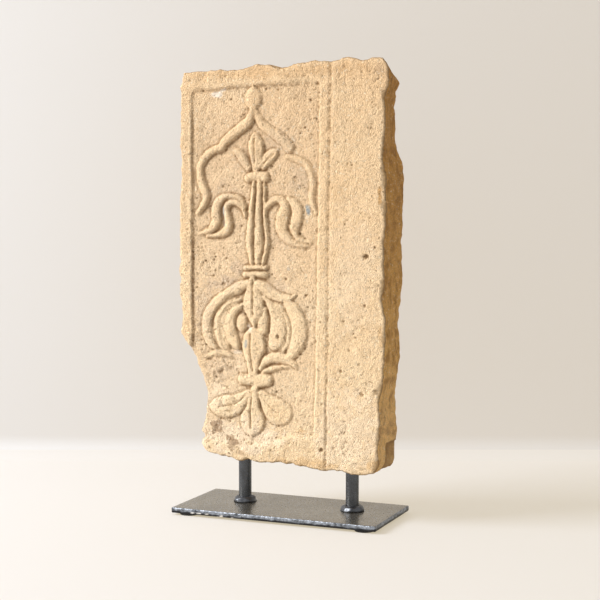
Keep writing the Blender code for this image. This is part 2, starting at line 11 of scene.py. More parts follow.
import bpy
import numpy as np
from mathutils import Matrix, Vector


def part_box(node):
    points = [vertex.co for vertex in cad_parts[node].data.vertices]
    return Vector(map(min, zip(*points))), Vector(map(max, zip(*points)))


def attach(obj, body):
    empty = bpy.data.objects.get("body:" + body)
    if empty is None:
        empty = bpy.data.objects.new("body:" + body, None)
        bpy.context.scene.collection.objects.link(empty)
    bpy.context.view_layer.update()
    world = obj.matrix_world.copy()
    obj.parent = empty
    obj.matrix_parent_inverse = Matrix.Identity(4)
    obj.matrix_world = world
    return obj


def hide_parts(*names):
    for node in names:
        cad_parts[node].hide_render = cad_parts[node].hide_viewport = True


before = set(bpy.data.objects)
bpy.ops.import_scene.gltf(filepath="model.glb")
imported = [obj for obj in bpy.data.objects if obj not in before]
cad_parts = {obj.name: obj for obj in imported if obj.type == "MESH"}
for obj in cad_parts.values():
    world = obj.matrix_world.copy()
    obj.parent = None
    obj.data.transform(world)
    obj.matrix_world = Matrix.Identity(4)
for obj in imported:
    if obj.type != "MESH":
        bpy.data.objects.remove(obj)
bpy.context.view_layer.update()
MM = 0.001
CLEARANCE = 0.3 * MM


# %% [markdown]
# The camera stands a little to the right of the slab and looks down on it slightly, so its right side
# shows. The place was worked out from the plate's corners in the photograph.

# %% Camera
CAMERA_PLACE = (0.503, -1.175, 0.289)
CAMERA_LENS = 84
CAMERA_DIP = 4.06
CAMERA_TURN = math.radians(22.78)
camera_data = bpy.data.cameras.new("camera")
camera_data.lens = CAMERA_LENS
camera_data.sensor_width = 36
camera = bpy.data.objects.new("camera", camera_data)
camera.location = CAMERA_PLACE
camera.rotation_euler = (math.radians(90 - CAMERA_DIP), 0, CAMERA_TURN)
bpy.context.scene.collection.objects.link(camera)
bpy.context.scene.camera = camera
print("Camera at", CAMERA_PLACE)

# %% [markdown]
# Every new piece is a sheet of points worked out with numpy and handed to Blender in one go. A point
# list, a list of four-sided faces and a list of triangles are enough for all of them.

# %% From arrays to a mesh


def new_piece(name, points, quads, triangles=(), body="root"):
    """A smooth-shaded mesh object whose place is in its vertices: points (n, 3), corner numbers by face."""
    quads = np.asarray(quads, np.int32).reshape(-1, 4)
    triangles = np.asarray(triangles, np.int32).reshape(-1, 3)
    corners = np.concatenate([quads.ravel(), triangles.ravel()])
    sizes = np.concatenate([np.full(len(quads), 4), np.full(len(triangles), 3)])
    mesh = bpy.data.meshes.new(name)
    mesh.vertices.add(len(points))
    mesh.vertices.foreach_set("co", np.asarray(points, np.float32).ravel())
    mesh.loops.add(len(corners))
    mesh.loops.foreach_set("vertex_index", corners.astype(np.int32))
    mesh.polygons.add(len(sizes))
    starts = np.concatenate([[0], np.cumsum(sizes)[:-1]])
    mesh.polygons.foreach_set("loop_start", starts.astype(np.int32))
    mesh.update(calc_edges=True)
    mesh.validate()
    mesh.shade_smooth()
    piece = bpy.data.objects.new(name, mesh)
    bpy.context.scene.collection.objects.link(piece)
    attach(piece, body)
    print(name, len(points), "points,", 2 * len(quads) + len(triangles), "triangles")
    return piece


def grid_quads(ids):
    """The four-sided faces of a grid of point numbers, one for each cell."""
    return np.stack([ids[:-1, :-1], ids[:-1, 1:], ids[1:, 1:], ids[1:, :-1]], axis=-1).reshape(-1, 4)


def store(piece, name, values):
    """Keeps one number for each vertex, which a material can read by its name."""
    attribute = piece.data.attributes.new(name, "FLOAT", "POINT")
    attribute.data.foreach_set("value", np.asarray(values, np.float32).ravel())


# %% [markdown]
# Stone is uneven at every size. Two kinds of unevenness are enough: soft lumps, which are random
# numbers on a cubic lattice with smooth steps between them, and pits, which are small round hollows,
# one in some of the lattice's cells.

# %% Lumps and pits
LATTICE = 32
# The lattice is turned against the slab, so that its rows don't show. Each column is one turned axis
TURNED = np.array([[0.60, -0.64, 0.48], [0.80, 0.48, -0.36], [0.0, 0.60, 0.80]])
rng = np.random.default_rng(7)
lump_table = rng.uniform(-1, 1, (LATTICE, LATTICE, LATTICE))
pit_table = rng.uniform(0, 1, (LATTICE, LATTICE, LATTICE, 5))


def lumps(points, size, shift=0.0):
    """Smooth noise from -1 to 1: the lattice's eight corner values mixed by 3t^2 - 2t^3 along each axis."""
    cell = np.asarray(points) @ TURNED / size + shift
    base = np.floor(cell).astype(int)
    t = cell - base
    t = t * t * (3 - 2 * t)
    total = 0
    for corner in np.ndindex(2, 2, 2):
        step = np.array(corner)
        weight = np.prod(np.where(step == 1, t, 1 - t), axis=-1)
        i, j, k = np.moveaxis((base + step) % LATTICE, -1, 0)
        total = total + weight * lump_table[i, j, k]
    return total


def pits(points, size, chance, least, most):
    """Depth from 0 to 1 of round hollows: 1 - (distance / radius)^2 from each pit's centre, deepest one."""
    cell = np.asarray(points) / size
    base = np.floor(cell).astype(int)
    deepest = np.zeros(cell.shape[:-1])
    for corner in np.ndindex(3, 3, 3):
        here = base + np.array(corner) - 1
        i, j, k = np.moveaxis(here % LATTICE, -1, 0)
        row = pit_table[i, j, k]
        away = np.linalg.norm(cell - here - row[..., :3], axis=-1) * size
        radius = least + (most - least) * row[..., 3] ** 2
        depth = np.clip(1 - (away / radius) ** 2, 0, 1) * (row[..., 4] < chance)
        deepest = np.maximum(deepest, depth)
    return deepest


def layered(points, layers):
    """Lumps of several sizes added up. Each layer is a height, the lumps' size and the noise's shift."""
    return sum(much * lumps(points, size, shift) for much, size, shift in layers)


print("Random lattice:", lump_table.size, "numbers for lumps,", pit_table.size, "for pits")

# %% [markdown]
# The slab's front is drawn in millimetres, x from the middle of the base and z from the ground. Its
# four edges are broken or worn, so each is a short list of places joined up. The margin on the right
# and the narrow border at the left and the top stand 3.2 mm above the sunk panel.

# %% Outline of the slab's front, in millimetres
TOP_EDGE = [
    (-99.5, 406), (-87, 408), (-72, 408), (-62, 408), (-55, 407), (-44, 407.5), (-37, 408.5), (-27, 411.5),
    (-14, 411), (-8, 409), (3, 409), (12, 410.5), (27, 413), (38, 412), (48, 412.3), (60, 414.3),
    (67, 414), (77, 411), (85, 413.5), (94.5, 412.7)]
RIGHT_EDGE = [
    (87, 47), (91, 53), (91.5, 62), (91, 72), (92.5, 90), (92, 105), (95.5, 130), (96.5, 150), (98.5, 170),
    (98.5, 188), (95, 200), (96.5, 215), (96.5, 250), (98.5, 280), (97.5, 300), (96, 320), (96, 335),
    (97.5, 360), (96.7, 371), (97, 383), (100, 387.5), (100.3, 402), (98.5, 408), (94.5, 412.7)]
BOTTOM_EDGE = [
    (-74, 55), (-64, 52.5), (-52, 52), (-45, 50.3), (-33, 50.8), (-27, 49.6), (-3, 51), (3, 50), (9, 51),
    (15, 49), (43, 46.5), (50, 47.8), (61, 46.8), (67, 45.5), (80, 45.5), (87, 47)]
LEFT_EDGE = [
    (-74, 55), (-79, 57.5), (-84, 63.5), (-81, 69), (-83, 77), (-80.5, 91), (-78.5, 100), (-78, 110),
    (-80, 120), (-82, 127), (-87, 136), (-90.5, 145), (-94.5, 153), (-99, 159), (-103, 166), (-102, 176),
    (-101, 184), (-103, 195), (-104, 205), (-104, 290), (-103, 300), (-103, 375), (-102, 385), (-103, 392),
    (-101.5, 399), (-99.5, 406)]
FACE_Y = -18
THICKNESS = 48
RELIEF = 3.2
# The panel's edge, with the run of its wall: steep at the sides, worn to a slope above and below
PANEL_EDGE = [
    (-92, 387, 1.4), (-89, 391, 2.6), (-50, 393.5, 2.6), (30, 395, 2.4), (36.5, 394.5, 1.2),
    (35.5, 300, 1.2), (34, 200, 1.2), (31, 78, 1.4), (28, 74.5, 3.5), (5, 74.5, 4), (-4, 69, 4),
    (-20, 65, 4.5), (-45, 60, 5), (-66, 66, 5), (-96, 60, 4), (-110, 90, 2), (-105, 135, 1.5),
    (-93.5, 156, 1.3), (-92.5, 170, 1.3), (-92.2, 280, 1.3)]
MARGIN_GROOVE = [(46.8, 425), (45, 330), (43.5, 200), (41.5, 35)]
print("Outline of", len(TOP_EDGE + RIGHT_EDGE + BOTTOM_EDGE + LEFT_EDGE), "places")

# %% [markdown]
# The carving is made of strokes, as a carver works: each is a line with a width that swells and
# tapers, rounded over at its sides. Leaves get a cut along their midrib. Where strokes meet, the
# higher one wins, which leaves a sharp valley between them.

# %% The carved strokes: height as a share of the relief, then x, z and half the width along the line
STROKES = {
    "bud": (0.95, [
        (-28.5, 373, 2.5), (-29.3, 377.5, 7), (-29.5, 382, 8.4), (-29.5, 387, 5.5), (-29.7, 391.5, 1)]),
    "arch left": (1.05, [
        (-30.5, 371, 3), (-32, 365, 4), (-36.5, 359, 5), (-47.5, 351.2, 5.1), (-58, 343, 4.6),
        (-61, 338.5, 4.5)]),
    "lobe left": (0.95, [
        (-60, 337.5, 3.6), (-67, 336, 3.8), (-73.5, 333, 4), (-80.3, 327.5, 4), (-83.3, 320, 3.8),
        (-83.6, 312, 3.9), (-81.5, 303, 4.2), (-78, 296, 4.2), (-77.5, 291.5, 3.8), (-80.5, 285.5, 3.6),
        (-86, 278, 2.6)]),
    "arch right": (0.68, [
        (-27.5, 370, 2.6), (-24.5, 363, 3.6), (-18, 355, 4.3), (-9, 348.8, 4.4), (0, 343.2, 4.6),
        (6, 336.5, 4.8)]),
    "lobe right": (0.84, [
        (4, 329, 2), (12, 326.5, 3), (19.5, 323.5, 3.3), (25.5, 317.5, 3.4), (28.3, 309, 3.5),
        (28.5, 300, 3.7), (27.5, 292.5, 3.6), (29, 285, 3), (32, 278, 2)]),
    "palmette middle": (0.95, [
        (-29.3, 349.5, 1), (-28, 343, 6), (-27, 336.5, 8), (-26.5, 329, 6.5), (-27, 318, 4)]),
    "palmette left": (0.85, [
        (-48.5, 334.5, 1.5), (-45, 332.5, 3.8), (-40.2, 327, 4.6), (-34.8, 319, 3.2)]),
    "palmette right": (0.95, [
        (-5.6, 334, 1.2), (-8.6, 331.5, 4.4), (-14.8, 327.4, 5.8), (-20.8, 320.8, 4.4)]),
    "upper collar": (1.1, [(-34.3, 309.8, 4.3), (-26, 310.8, 4.7), (-17.8, 310.2, 4.4)]),
    "stem left": (0.85, [
        (-29.4, 305, 2.2), (-31, 285, 2.8), (-33, 262, 3.6), (-33.8, 249, 3.8), (-31.5, 232.5, 2.6)]),
    "stem middle": (0.9, [
        (-23.4, 305, 3.4), (-24.3, 280, 3.4), (-25, 262, 4.4), (-24.6, 249, 4.8), (-25.4, 232.5, 3.4)]),
    "stem right": (0.8, [
        (-18.6, 305, 1.4), (-18.2, 280, 1.8), (-17, 262, 2.2), (-16.4, 249, 2.6), (-20, 232.5, 2)]),
    "left curl": (0.9, [
        (-37.5, 283, 1.2), (-43, 290.5, 2), (-51, 293, 2.4), (-60, 291.5, 3.6), (-66, 286, 4.6),
        (-68, 278, 5), (-68, 270, 5), (-71.5, 263.5, 4.2), (-79, 259.8, 2.6), (-85, 258.8, 1)]),
    "left inner curl": (0.95, [
        (-37.5, 276, 2), (-41, 283.5, 2.7), (-47.5, 287.5, 3), (-54, 287, 3.4), (-57.5, 281.5, 3.6),
        (-56, 274, 4), (-55, 267, 4.6), (-58.5, 260.5, 4.2), (-67, 257.2, 2.6), (-77, 256.3, 1.2)]),
    "right inner curl": (0.85, [
        (-18.5, 274, 1.5), (-16.3, 283, 3), (-10, 288.5, 3.6), (-3.5, 289.5, 3.6), (1.5, 284, 4.8),
        (0.2, 277, 6.2), (-1.6, 268, 6.3), (0.3, 259.3, 5.5), (7.5, 252.7, 4.1), (16, 249.4, 2.9),
        (24.5, 248.2, 1.4)]),
    "right curl": (0.95, [
        (4, 291, 1.5), (10, 287, 4.2), (13.5, 280, 5.6), (13.3, 272, 5.8), (11.6, 264, 4.9),
        (12.8, 257.5, 3.5), (18, 253.3, 2.5), (27.5, 251.5, 1.8)]),
    "middle collar top": (1.1, [(-37.5, 228.2, 2.6), (-18, 228.2, 2.6)]),
    "middle collar foot": (1.1, [(-37.5, 221.8, 3.3), (-18, 221.8, 3.3)]),
    "fruit left rim": (0.95, [
        (-34.5, 213.5, 4), (-45.5, 209, 5.6), (-56, 203.2, 5.1), (-65.5, 196.5, 5.2), (-74, 186, 5.8),
        (-77.2, 176, 5.5), (-77, 167, 5.4), (-74, 158.5, 5), (-69, 153.5, 3)]),
    "fruit left thread": (0.75, [
        (-43, 198.5, 1.2), (-52, 196, 2.2), (-60, 190.5, 2.8), (-65.5, 182, 3.3), (-67, 173.5, 3.3),
        (-66, 165, 3), (-63, 157, 2), (-61, 153.5, 1)]),
    "fruit left petal": (0.85, [
        (-41.5, 194, 1.5), (-44, 191.3, 3), (-49.6, 186.6, 4.6), (-54, 177.3, 5.7), (-53.3, 168.6, 5.8),
        (-50, 160, 5.4), (-46.5, 155.5, 3.5)]),
    "seed left": (0.7, [(-42, 174.3, 5.2), (-41.4, 180.3, 5.2)]),
    "seed right": (0.8, [(-18.5, 191, 1.5), (-19, 184, 3.6), (-20.6, 177, 5.9), (-21, 171.5, 5.4)]),
    "fruit body left": (0.4, [(-50, 195, 6), (-60, 186, 11), (-61, 172, 13), (-59, 160, 9)]),
    "fruit body right": (0.4, [(-6, 192, 5), (1, 182, 9), (2, 170, 10), (-1, 159, 7)]),
    "upper leaf": (0.95, [
        (-30.8, 217, 3.8), (-31, 210.5, 4.8), (-30.3, 204, 7.6), (-29.8, 198, 10.2), (-29.7, 192, 10.4),
        (-29.6, 186, 7.6), (-29.3, 180, 4.4), (-28.8, 173.5, 1)]),
    "lower leaf": (0.9, [
        (-29.5, 172.5, 1.2), (-29.6, 167, 7), (-29.7, 161.5, 11.2), (-29.7, 156, 12), (-30, 150, 9.8),
        (-30.2, 143, 7.2), (-30.4, 136, 5.8), (-30.5, 131, 5.2)]),
    "fruit right top": (0.95, [
        (-25.2, 213.2, 4.2), (-19, 209.4, 5.8), (-13, 205.2, 5.7), (-7, 202.2, 5), (0, 200.7, 3.9),
        (7.4, 201.7, 2.8), (12.6, 204.6, 1.2)]),
    "fruit right rim": (0.95, [
        (4.5, 196.2, 4.8), (10.8, 189, 7), (15.2, 179, 8), (15.8, 170, 8), (13.6, 160.5, 7.7),
        (9.5, 152.5, 6.2), (6.2, 148, 4.4)]),
    "fruit right thread": (0.7, [
        (-9, 196, 1), (-1.4, 189.8, 1.8), (4.2, 180, 2.2), (5.6, 168.5, 2.2), (3.3, 158.5, 2),
        (-0.5, 152.3, 1)]),
    "fruit right petal": (0.85, [
        (-20, 202, 1.2), (-12.4, 193.6, 4), (-6.4, 182.5, 6.8), (-5, 172.5, 8.3), (-6.6, 164, 8.2),
        (-9, 159, 6.2)]),
    "base leaf left": (0.45, [(-78, 144.5, 2), (-71, 148, 3), (-61, 148.5, 3), (-53, 146, 1.5)]),
    "base leaf right": (0.9, [
        (-23, 135.5, 2.4), (-17, 143, 4.4), (-7, 146.7, 5.4), (3, 145.2, 4.6), (9.6, 141.6, 3),
        (13.9, 138, 1)]),
    "base roll": (0.75, [
        (-22.5, 131.5, 1), (-18, 133.8, 2.4), (-12, 135.6, 2.9), (-5, 137.3, 2.4), (2, 138.6, 1.4),
        (7, 138.6, 0.8)]),
    "lower collar": (1.05, [(-41.2, 125, 5.2), (-31, 124.8, 5.3)]),
    "lower collar knot": (1.15, [(-25, 124.5, 6.8), (-16.5, 125.3, 5.9)]),
    "foot leaf left": (0.85, [
        (-36, 113.5, 2.8), (-41, 107, 6.2), (-48, 101.5, 9.2), (-56, 99, 10.6), (-64, 98.5, 9),
        (-71, 98, 4.5)]),
    "foot leaf middle": (0.95, [
        (-28.8, 117, 4.4), (-29.8, 107, 5.8), (-30.8, 98.5, 7.2), (-31, 92.5, 9.6), (-31, 87, 12.2),
        (-31.4, 81.8, 9), (-32, 76.5, 4.5), (-32, 72.5, 1)]),
    "foot leaf right": (0.85, [
        (-22.5, 113.5, 2.8), (-17, 106.5, 6.8), (-10, 99.5, 11), (-5, 96.5, 12.2), (-1, 95.8, 10.2)]),
}

# Cuts along the leaves' midribs: depth as a share of the relief, half width, then x and z
LEAF_CUTS = [
    (0.6, 1.2, [(-28.8, 348), (-28.6, 330), (-28.5, 317)]),
    (0.45, 1.0, [(-45, 329.5), (-39.5, 324.5), (-34.5, 319.5)]),
    (0.6, 1.1, [(-8.5, 331), (-14.5, 327), (-19.5, 322), (-22, 317.5)]),
    (0.7, 1.2, [(-30.2, 217), (-30.1, 200), (-30.2, 184)]),
    (0.65, 1.2, [(-33.2, 168), (-32.6, 155), (-31.5, 142), (-30.8, 133)]),
    (0.3, 1.0, [(-46, 205), (-56, 199), (-64, 192), (-70, 183), (-72, 173)]),
    (0.55, 1.2, [(-36, 113.5), (-41, 107.5), (-47, 103), (-56, 100), (-65, 98.6)]),
    (0.65, 1.2, [(-31.6, 115), (-32.6, 100), (-32.4, 80)]),
    (0.45, 1.1, [(-22.5, 111), (-17, 104.5), (-10, 98.5), (-5, 96.2)]),
    (0.25, 1, [(-17, 213), (-11, 206.5), (-5, 202.8), (-1, 202.2)]),
]
print(len(STROKES), "strokes and", len(LEAF_CUTS), "cuts")

# %% [markdown]
# Two things have to be known for every point of the face: how deep it lies inside a stroke, and
# whether it lies inside the panel. A smooth curve goes through a stroke's places, and the nearest of
# its short straight parts gives the depth.

# %% Lines and how far a point is from them


def curve_through(rows, step=2.0):
    """Points at about one step on the Catmull-Rom curve through the rows, which bends smoothly at each."""
    rows = np.array(rows, float)
    padded = np.vstack([2 * rows[0] - rows[1], rows, 2 * rows[-1] - rows[-2]])
    out = []
    for a, b, c, d in zip(padded, padded[1:], padded[2:], padded[3:]):
        count = max(1, round(float(np.linalg.norm((c - b)[:2])) / step))
        t = (np.arange(count) / count)[:, None]
        out.append(b + 0.5 * t * (c - a + t * (2 * a - 5 * b + 4 * c - d + t * (3 * (b - c) + d - a))))
    return np.vstack([*out, rows[-1:]])


def depth_inside(x, z, line):
    """How far inside a stroke each point is, half width less distance, and the half width there."""
    best = np.full(x.shape, -1e3)
    width = np.ones(x.shape)
    for a, b in zip(line, line[1:]):
        along = (b - a)[:2]
        t = ((x - a[0]) * along[0] + (z - a[1]) * along[1]) / max(along @ along, 1e-9)
        t = np.clip(t, 0, 1)
        half = a[2] + t * (b[2] - a[2])
        inside = half - np.hypot(x - a[0] - t * along[0], z - a[1] - t * along[1])
        width = np.where(inside > best, half, width)
        best = np.maximum(best, inside)
    return best, width


def inside_polygon(x, z, corners):
    """True where a ray to the right meets the polygon's sides an odd number of times."""
    odd = np.zeros(x.shape, bool)
    for (x0, z0), (x1, z1) in zip(corners, corners[1:] + corners[:1]):
        if z0 != z1:
            odd ^= ((z0 > z) != (z1 > z)) & (x < x0 + (z - z0) / (z1 - z0) * (x1 - x0))
    return odd


# %% [markdown]
# The face's height is one function of x and z. It starts flat, sinks the panel, lays the strokes on
# the panel's ground, cuts the midribs and the groove in the margin, and is then worn soft by
# averaging each point with its neighbours.

# %% Height of the carved face, in millimetres above the flat border
ROUNDING = 2.6
CROWN = 0.3
CUT_WIDTH = 1.0
CUT_DEPTH = 0.4
GROOVE_HALF_WIDTH = 1.2
GROOVE_DEPTH = 1.2
GROOVE_STEEPNESS = 1.6


def smooth_step(value, low, high):
    """0 below the first limit, 1 above the second, and 3t^2 - 2t^3 between them."""
    t = np.clip((value - low) / (high - low), 0, 1)
    return t * t * (3 - 2 * t)


def carved_height(x, z):
    """Border 0, ground -3.2, each stroke a quarter round up to its share. Also says where the ground is."""
    near_wall, run = depth_inside(x, z, np.array(PANEL_EDGE + PANEL_EDGE[:1], float))
    sunk = np.clip((run - near_wall) / run, 0, 1) * inside_polygon(x, z, [p[:2] for p in PANEL_EDGE])
    # The ground comes up a little towards the foot, the right, the left and the top: from, to, shares
    for places, low, high, before, after in ((z, 62, 96, 0.5, 1), (x, -25, 32, 1, 0.65),
                                             (x, -91, -74, 0.6, 1), (z, 350, 388, 1, 0.65)):
        sunk = sunk * (before + (after - before) * smooth_step(places, low, high))
    height = -RELIEF * sunk
    carved = np.zeros(x.shape)
    cut = np.zeros(x.shape)
    for share, rows in STROKES.values():
        line = curve_through(rows)
        reach = line[:, 2].max() + 1
        (x0, z0), (x1, z1) = line[:, :2].min(axis=0) - reach, line[:, :2].max(axis=0) + reach
        near = (x > x0) & (x < x1) & (z > z0) & (z < z1)
        deep, half = depth_inside(x[near], z[near], line)
        edge = 1 - np.clip(deep / np.minimum(half, ROUNDING), 0, 1)
        roll = np.sqrt(1 - edge ** 2) * (1 - CROWN) + CROWN * np.clip(deep / half, 0, 1)
        lifted = RELIEF * (share * roll - 1)
        height[near] = np.where(deep > 0, np.maximum(height[near], lifted), height[near])
        carved[near] = np.maximum(carved[near], roll * (deep > 0))
        beside = np.clip(1 - np.abs(deep + CUT_WIDTH / 2) / CUT_WIDTH, 0, 1)
        cut[near] = np.where(deep > 0.5, 0.3 * cut[near], np.maximum(cut[near], beside))
    height -= CUT_DEPTH * cut
    for share, half_width, rows in LEAF_CUTS:
        deep, half = depth_inside(x, z, curve_through([(*p, half_width) for p in rows]))
        height -= RELIEF * share * np.clip(deep / half, 0, 1)
    groove = np.array([(*p, GROOVE_HALF_WIDTH) for p in MARGIN_GROOVE])
    deep, half = depth_inside(x, z, groove)
    height -= GROOVE_DEPTH * np.clip(GROOVE_STEEPNESS * deep / half, 0, 1)
    return height, sunk * (1 - carved)


def softened(height, times):
    """Each point takes half its own height and a quarter of its two neighbours', one way after the other."""
    for _ in range(2 * times):
        padded = np.pad(height, ((1, 1), (0, 0)), mode="edge")
        height = (0.5 * height + 0.25 * (padded[:-2] + padded[2:])).T
    return height


# %% [markdown]
# The front is a grid whose lines run from edge to edge of the broken outline. A Coons patch does that:
# it mixes the left edge into the right one and the bottom into the top, and takes away what was
# counted twice at the corners. The grid is fine over the carving and coarser over the plain margin.

# %% Grid over the front
COLUMNS = [(-100, 8), (-92, 148), (38, 48), (95, 0)]
ROWS = [(50, 20), (72, 352), (396, 12), (410, 0)]
# Layers of small breaks along an edge: height, size and shift. They fade over the last points
EDGE_BREAKS = [(0.9, 12.0, 3.3), (0.7, 5.0, 2.1), (0.45, 2.4, 1.7)]
EDGE_WORN_BACK = 0.3
FADE_POINTS = 6


def spaced(stretches):
    """Places along an axis: each stretch is cut into its own number of equal steps. Given from 0 to 1."""
    places = [np.linspace(a, b, n, endpoint=False) for (a, n), (b, _) in zip(stretches, stretches[1:])]
    places = np.append(np.concatenate(places), stretches[-1][0])
    return (places - places[0]) / (places[-1] - places[0])


def edge_points(edge, share, axis):
    """Points along an outline edge at given shares of its run along x (axis 0) or z (axis 1)."""
    rows = np.array(edge, float)
    run = rows[0, axis] + share * (rows[-1, axis] - rows[0, axis])
    other = np.interp(run, rows[:, axis], rows[:, 1 - axis])
    return np.stack([run, other] if axis == 0 else [other, run], axis=-1)


def coons(bottom, top, left, right, u, v):
    """Coons patch: (1-v) bottom + v top + (1-u) left + u right, less the four corners' own mix."""
    u = u[None, :, None]
    v = v[:, None, None]
    edges = (1 - v) * bottom[None] + v * top[None] + (1 - u) * left[:, None] + u * right[:, None]
    low = (1 - u) * bottom[0] + u * bottom[-1]
    high = (1 - u) * top[0] + u * top[-1]
    return edges - (1 - v) * low - v * high


def ragged(points, outward):
    """Small breaks along an edge, in three sizes, moved along a given direction."""
    shift = layered(np.column_stack([points, np.zeros(len(points))]), EDGE_BREAKS) - EDGE_WORN_BACK
    from_end = np.minimum(np.arange(len(points)), np.arange(len(points))[::-1])
    return points + (shift * np.clip(from_end / FADE_POINTS, 0, 1))[:, None] * np.array(outward)


u_steps, v_steps = spaced(COLUMNS), spaced(ROWS)
bottom_line = ragged(edge_points(BOTTOM_EDGE, u_steps, 0), (0, 1))
top_line = ragged(edge_points(TOP_EDGE, u_steps, 0), (0, 1))
left_line = ragged(edge_points(LEFT_EDGE, v_steps, 1), (1, 0))
right_line = ragged(edge_points(RIGHT_EDGE, v_steps, 1), (1, 0))
front_xz = coons(bottom_line, top_line, left_line, right_line, u_steps, v_steps)
print("Front grid:", front_xz.shape[0], "rows by", front_xz.shape[1], "columns")

# %% [markdown]
# Weather has gone over the carving for a long time. Its lines wander by half a millimetre, so the
# carving is read at places that are shifted by soft lumps. Two measures are kept for the material, which
# paints dirt and shade by them: how hollow a place is, and how far it slopes away from the light.

# %% The carving with its wandering lines. Layers of lumps are height, size and shift
WANDER_X = [(0.45, 14.0, 1.1), (0.35, 5.0, 6.2), (0.2, 2.4, 0)]
WANDER_Z = [(0.45, 14.0, 8.4), (0.35, 5.0, 2.6), (0.2, 2.4, 4)]
HOLLOW_REACH = 14
x, z = front_xz[..., 0], front_xz[..., 1]
on_face = np.stack([x, np.zeros_like(x), z], axis=-1)
height, ground = carved_height(x + layered(on_face, WANDER_X), z + layered(on_face, WANDER_Z))
height = softened(height, 1)
# How far a place lies below its surroundings: the material darkens it there, as dirt and painted shade
hollow = np.clip(softened(height, HOLLOW_REACH) - height, -1, 1)
slope_x = np.gradient(height, axis=1) / np.gradient(x, axis=1)
slope_z = np.gradient(height, axis=0) / np.gradient(z, axis=0)
# Slopes turned away from the light, where the material paints shade
lee = np.clip(0.8 * slope_z - slope_x, 0, 1)
print("Carving from", round(float(height.min()), 2), "to", round(float(height.max()), 2), "mm")

# %% [markdown]
# The ground is pitted and stippled, and a patch at the lower left is eaten away. All of it is real
# height, so it shows from the side and in the shadows as well. The clearest pits are at their places.

# %% Grains, pits and eaten places. Single pits and chips are x, z, radius and depth
PITS = [
    (79.5, 240, 2.8, 1.9), (37.5, 65, 2.3, 1.9), (-5.5, 166, 1.9, 1.4), (-60, 212, 2.6, 1.2),
    (12, 307.5, 4.2, 1), (-41, 301, 1.5, 1), (-61, 302, 1.6, 1.2), (56, 137, 1.8, 1.1), (76, 117, 2.6, 1),
    (88, 248, 1.5, 1.1), (66, 320, 1.4, 0.9), (48, 300, 1.8, 0.8), (70, 168, 1.7, 0.9),
    (64, 156, 1.5, 0.9), (22, 204, 1.8, 1.2), (-12, 222, 1.6, 0.9), (2, 218, 2.2, 0.9),
    (-54, 155, 2.4, 1.2), (-52, 381, 1.5, 1), (27, 378, 1.6, 1), (84, 352, 1.4, 0.9), (60, 268, 1.5, 0.9),
    (90, 120, 3.4, 1.5), (93, 78, 3, 1.8)]
# Places that are rougher than the rest: x, z, half width, half height and how much
ROUGH_PLACES = [
    (-66, 133, 22, 20, 1), (14, 362, 24, 26, 0.35), (-70, 365, 20, 20, 0.25), (-62, 315, 14, 12, 0.25),
    (-25, 60, 60, 9, 0.35), (60, 75, 36, 16, 0.3), (78, 395, 22, 16, 0.35), (-74, 398, 26, 8, 0.35),
    (20, 240, 18, 14, 0.2)]
UNEVEN_FACE = [(0.55, 26.0, 8.8), (0.45, 12.0, 0), (0.3, 6.0, 0.4)]
PATCHES = [(1, 16.0, 6.6), (0.5, 7.0, 2.8)]
SAND = [(0.18, 3.3, 0.7), (0.1, 1.9, 5.3)]
SINGLE_GRAINS = 0.075
CRUMBLED = [(0.9, 5.2, 9.1), (0.7, 2.7, 4.8)]
# Random pits: the lattice's cell, the chance of a pit in it, least and greatest radius
STIPPLE = (3.1, 0.45, 0.5, 1.4)
PINPRICKS = (2.1, 0.35, 0.4, 0.9)
HOLES = (7.0, 0.2, 0.8, 2.1)
LARGE_HOLES = (21.0, 0.3, 1.2, 3.2)

eaten = np.zeros(x.shape)
for at_x, at_z, half_x, half_z, much in ROUGH_PLACES:
    away = np.hypot((x - at_x) / half_x, (z - at_z) / half_z) + 0.35 * lumps(on_face, 11.0, 3.7)
    eaten = np.maximum(eaten, much * (1 - smooth_step(away, 0.55, 1.1)))
grains = layered(on_face, SAND)
grains += SINGLE_GRAINS * rng.standard_normal(x.shape)
patchy = smooth_step(layered(on_face, PATCHES), -0.25, 0.45)
height += layered(on_face, UNEVEN_FACE) + grains * (1.2 + 0.8 * patchy + 0.3 * ground)
height += eaten * (layered(on_face, CRUMBLED) - 0.4)
height -= patchy * (0.8 + 0.6 * ground) * pits(on_face, *STIPPLE) + 0.5 * pits(on_face, *PINPRICKS)
height -= 1.1 * pits(on_face, *HOLES) + pits(on_face, *LARGE_HOLES)
for at_x, at_z, radius, depth in PITS:
    away = np.hypot(x - at_x, z - at_z) / (radius * (1 + 0.3 * lumps(on_face, 3.0, at_x)))
    height -= depth * np.clip(1.3 * (1 - away ** 2), 0, 1)
print("Eaten away:", int((eaten > 0.1).sum()), "points; single pits:", len(PITS))

# %% [markdown]
# The slab's arrises are worn round, more so where they are chipped. The height falls in a quarter
# circle over the last millimetres before the edge.

# %% Worn arrises
CHIPS = [(1, 11.0, 5.1), (0.5, 5.0, 2.2)]
LEAST_WEAR = 1.5
CHIP_WEAR = 3.2
to_edge = np.minimum.reduce([
    x - left_line[:, None, 0], right_line[:, None, 0] - x, z - bottom_line[None, :, 1],
    top_line[None, :, 1] - z])
chipped = smooth_step(layered(on_face, CHIPS), 0.1, 0.7)
wear_radius = LEAST_WEAR + CHIP_WEAR * chipped
worn = np.clip(wear_radius - np.maximum(to_edge, 0), 0, wear_radius)
height -= wear_radius - np.sqrt(np.maximum(wear_radius ** 2 - worn ** 2, 0))
# How far each point lies below its near surroundings, by which the material paints shade in the pits
pit_shade = np.clip(softened(height, 5) - height, 0, 1)
print("Height from", round(float(height.min()), 2), "to", round(float(height.max()), 2), "mm")

# %% [markdown]
# From the front's rim the sides run back in rings. Every second point of a ring is dropped twice on
# the way, because the sides and the back are plainer than the carving. The right side stands out more
# or less at its heights, as the photograph shows. A block is missing at its foot, its upper corner has
# broken away behind, and a dark crack runs down from there.

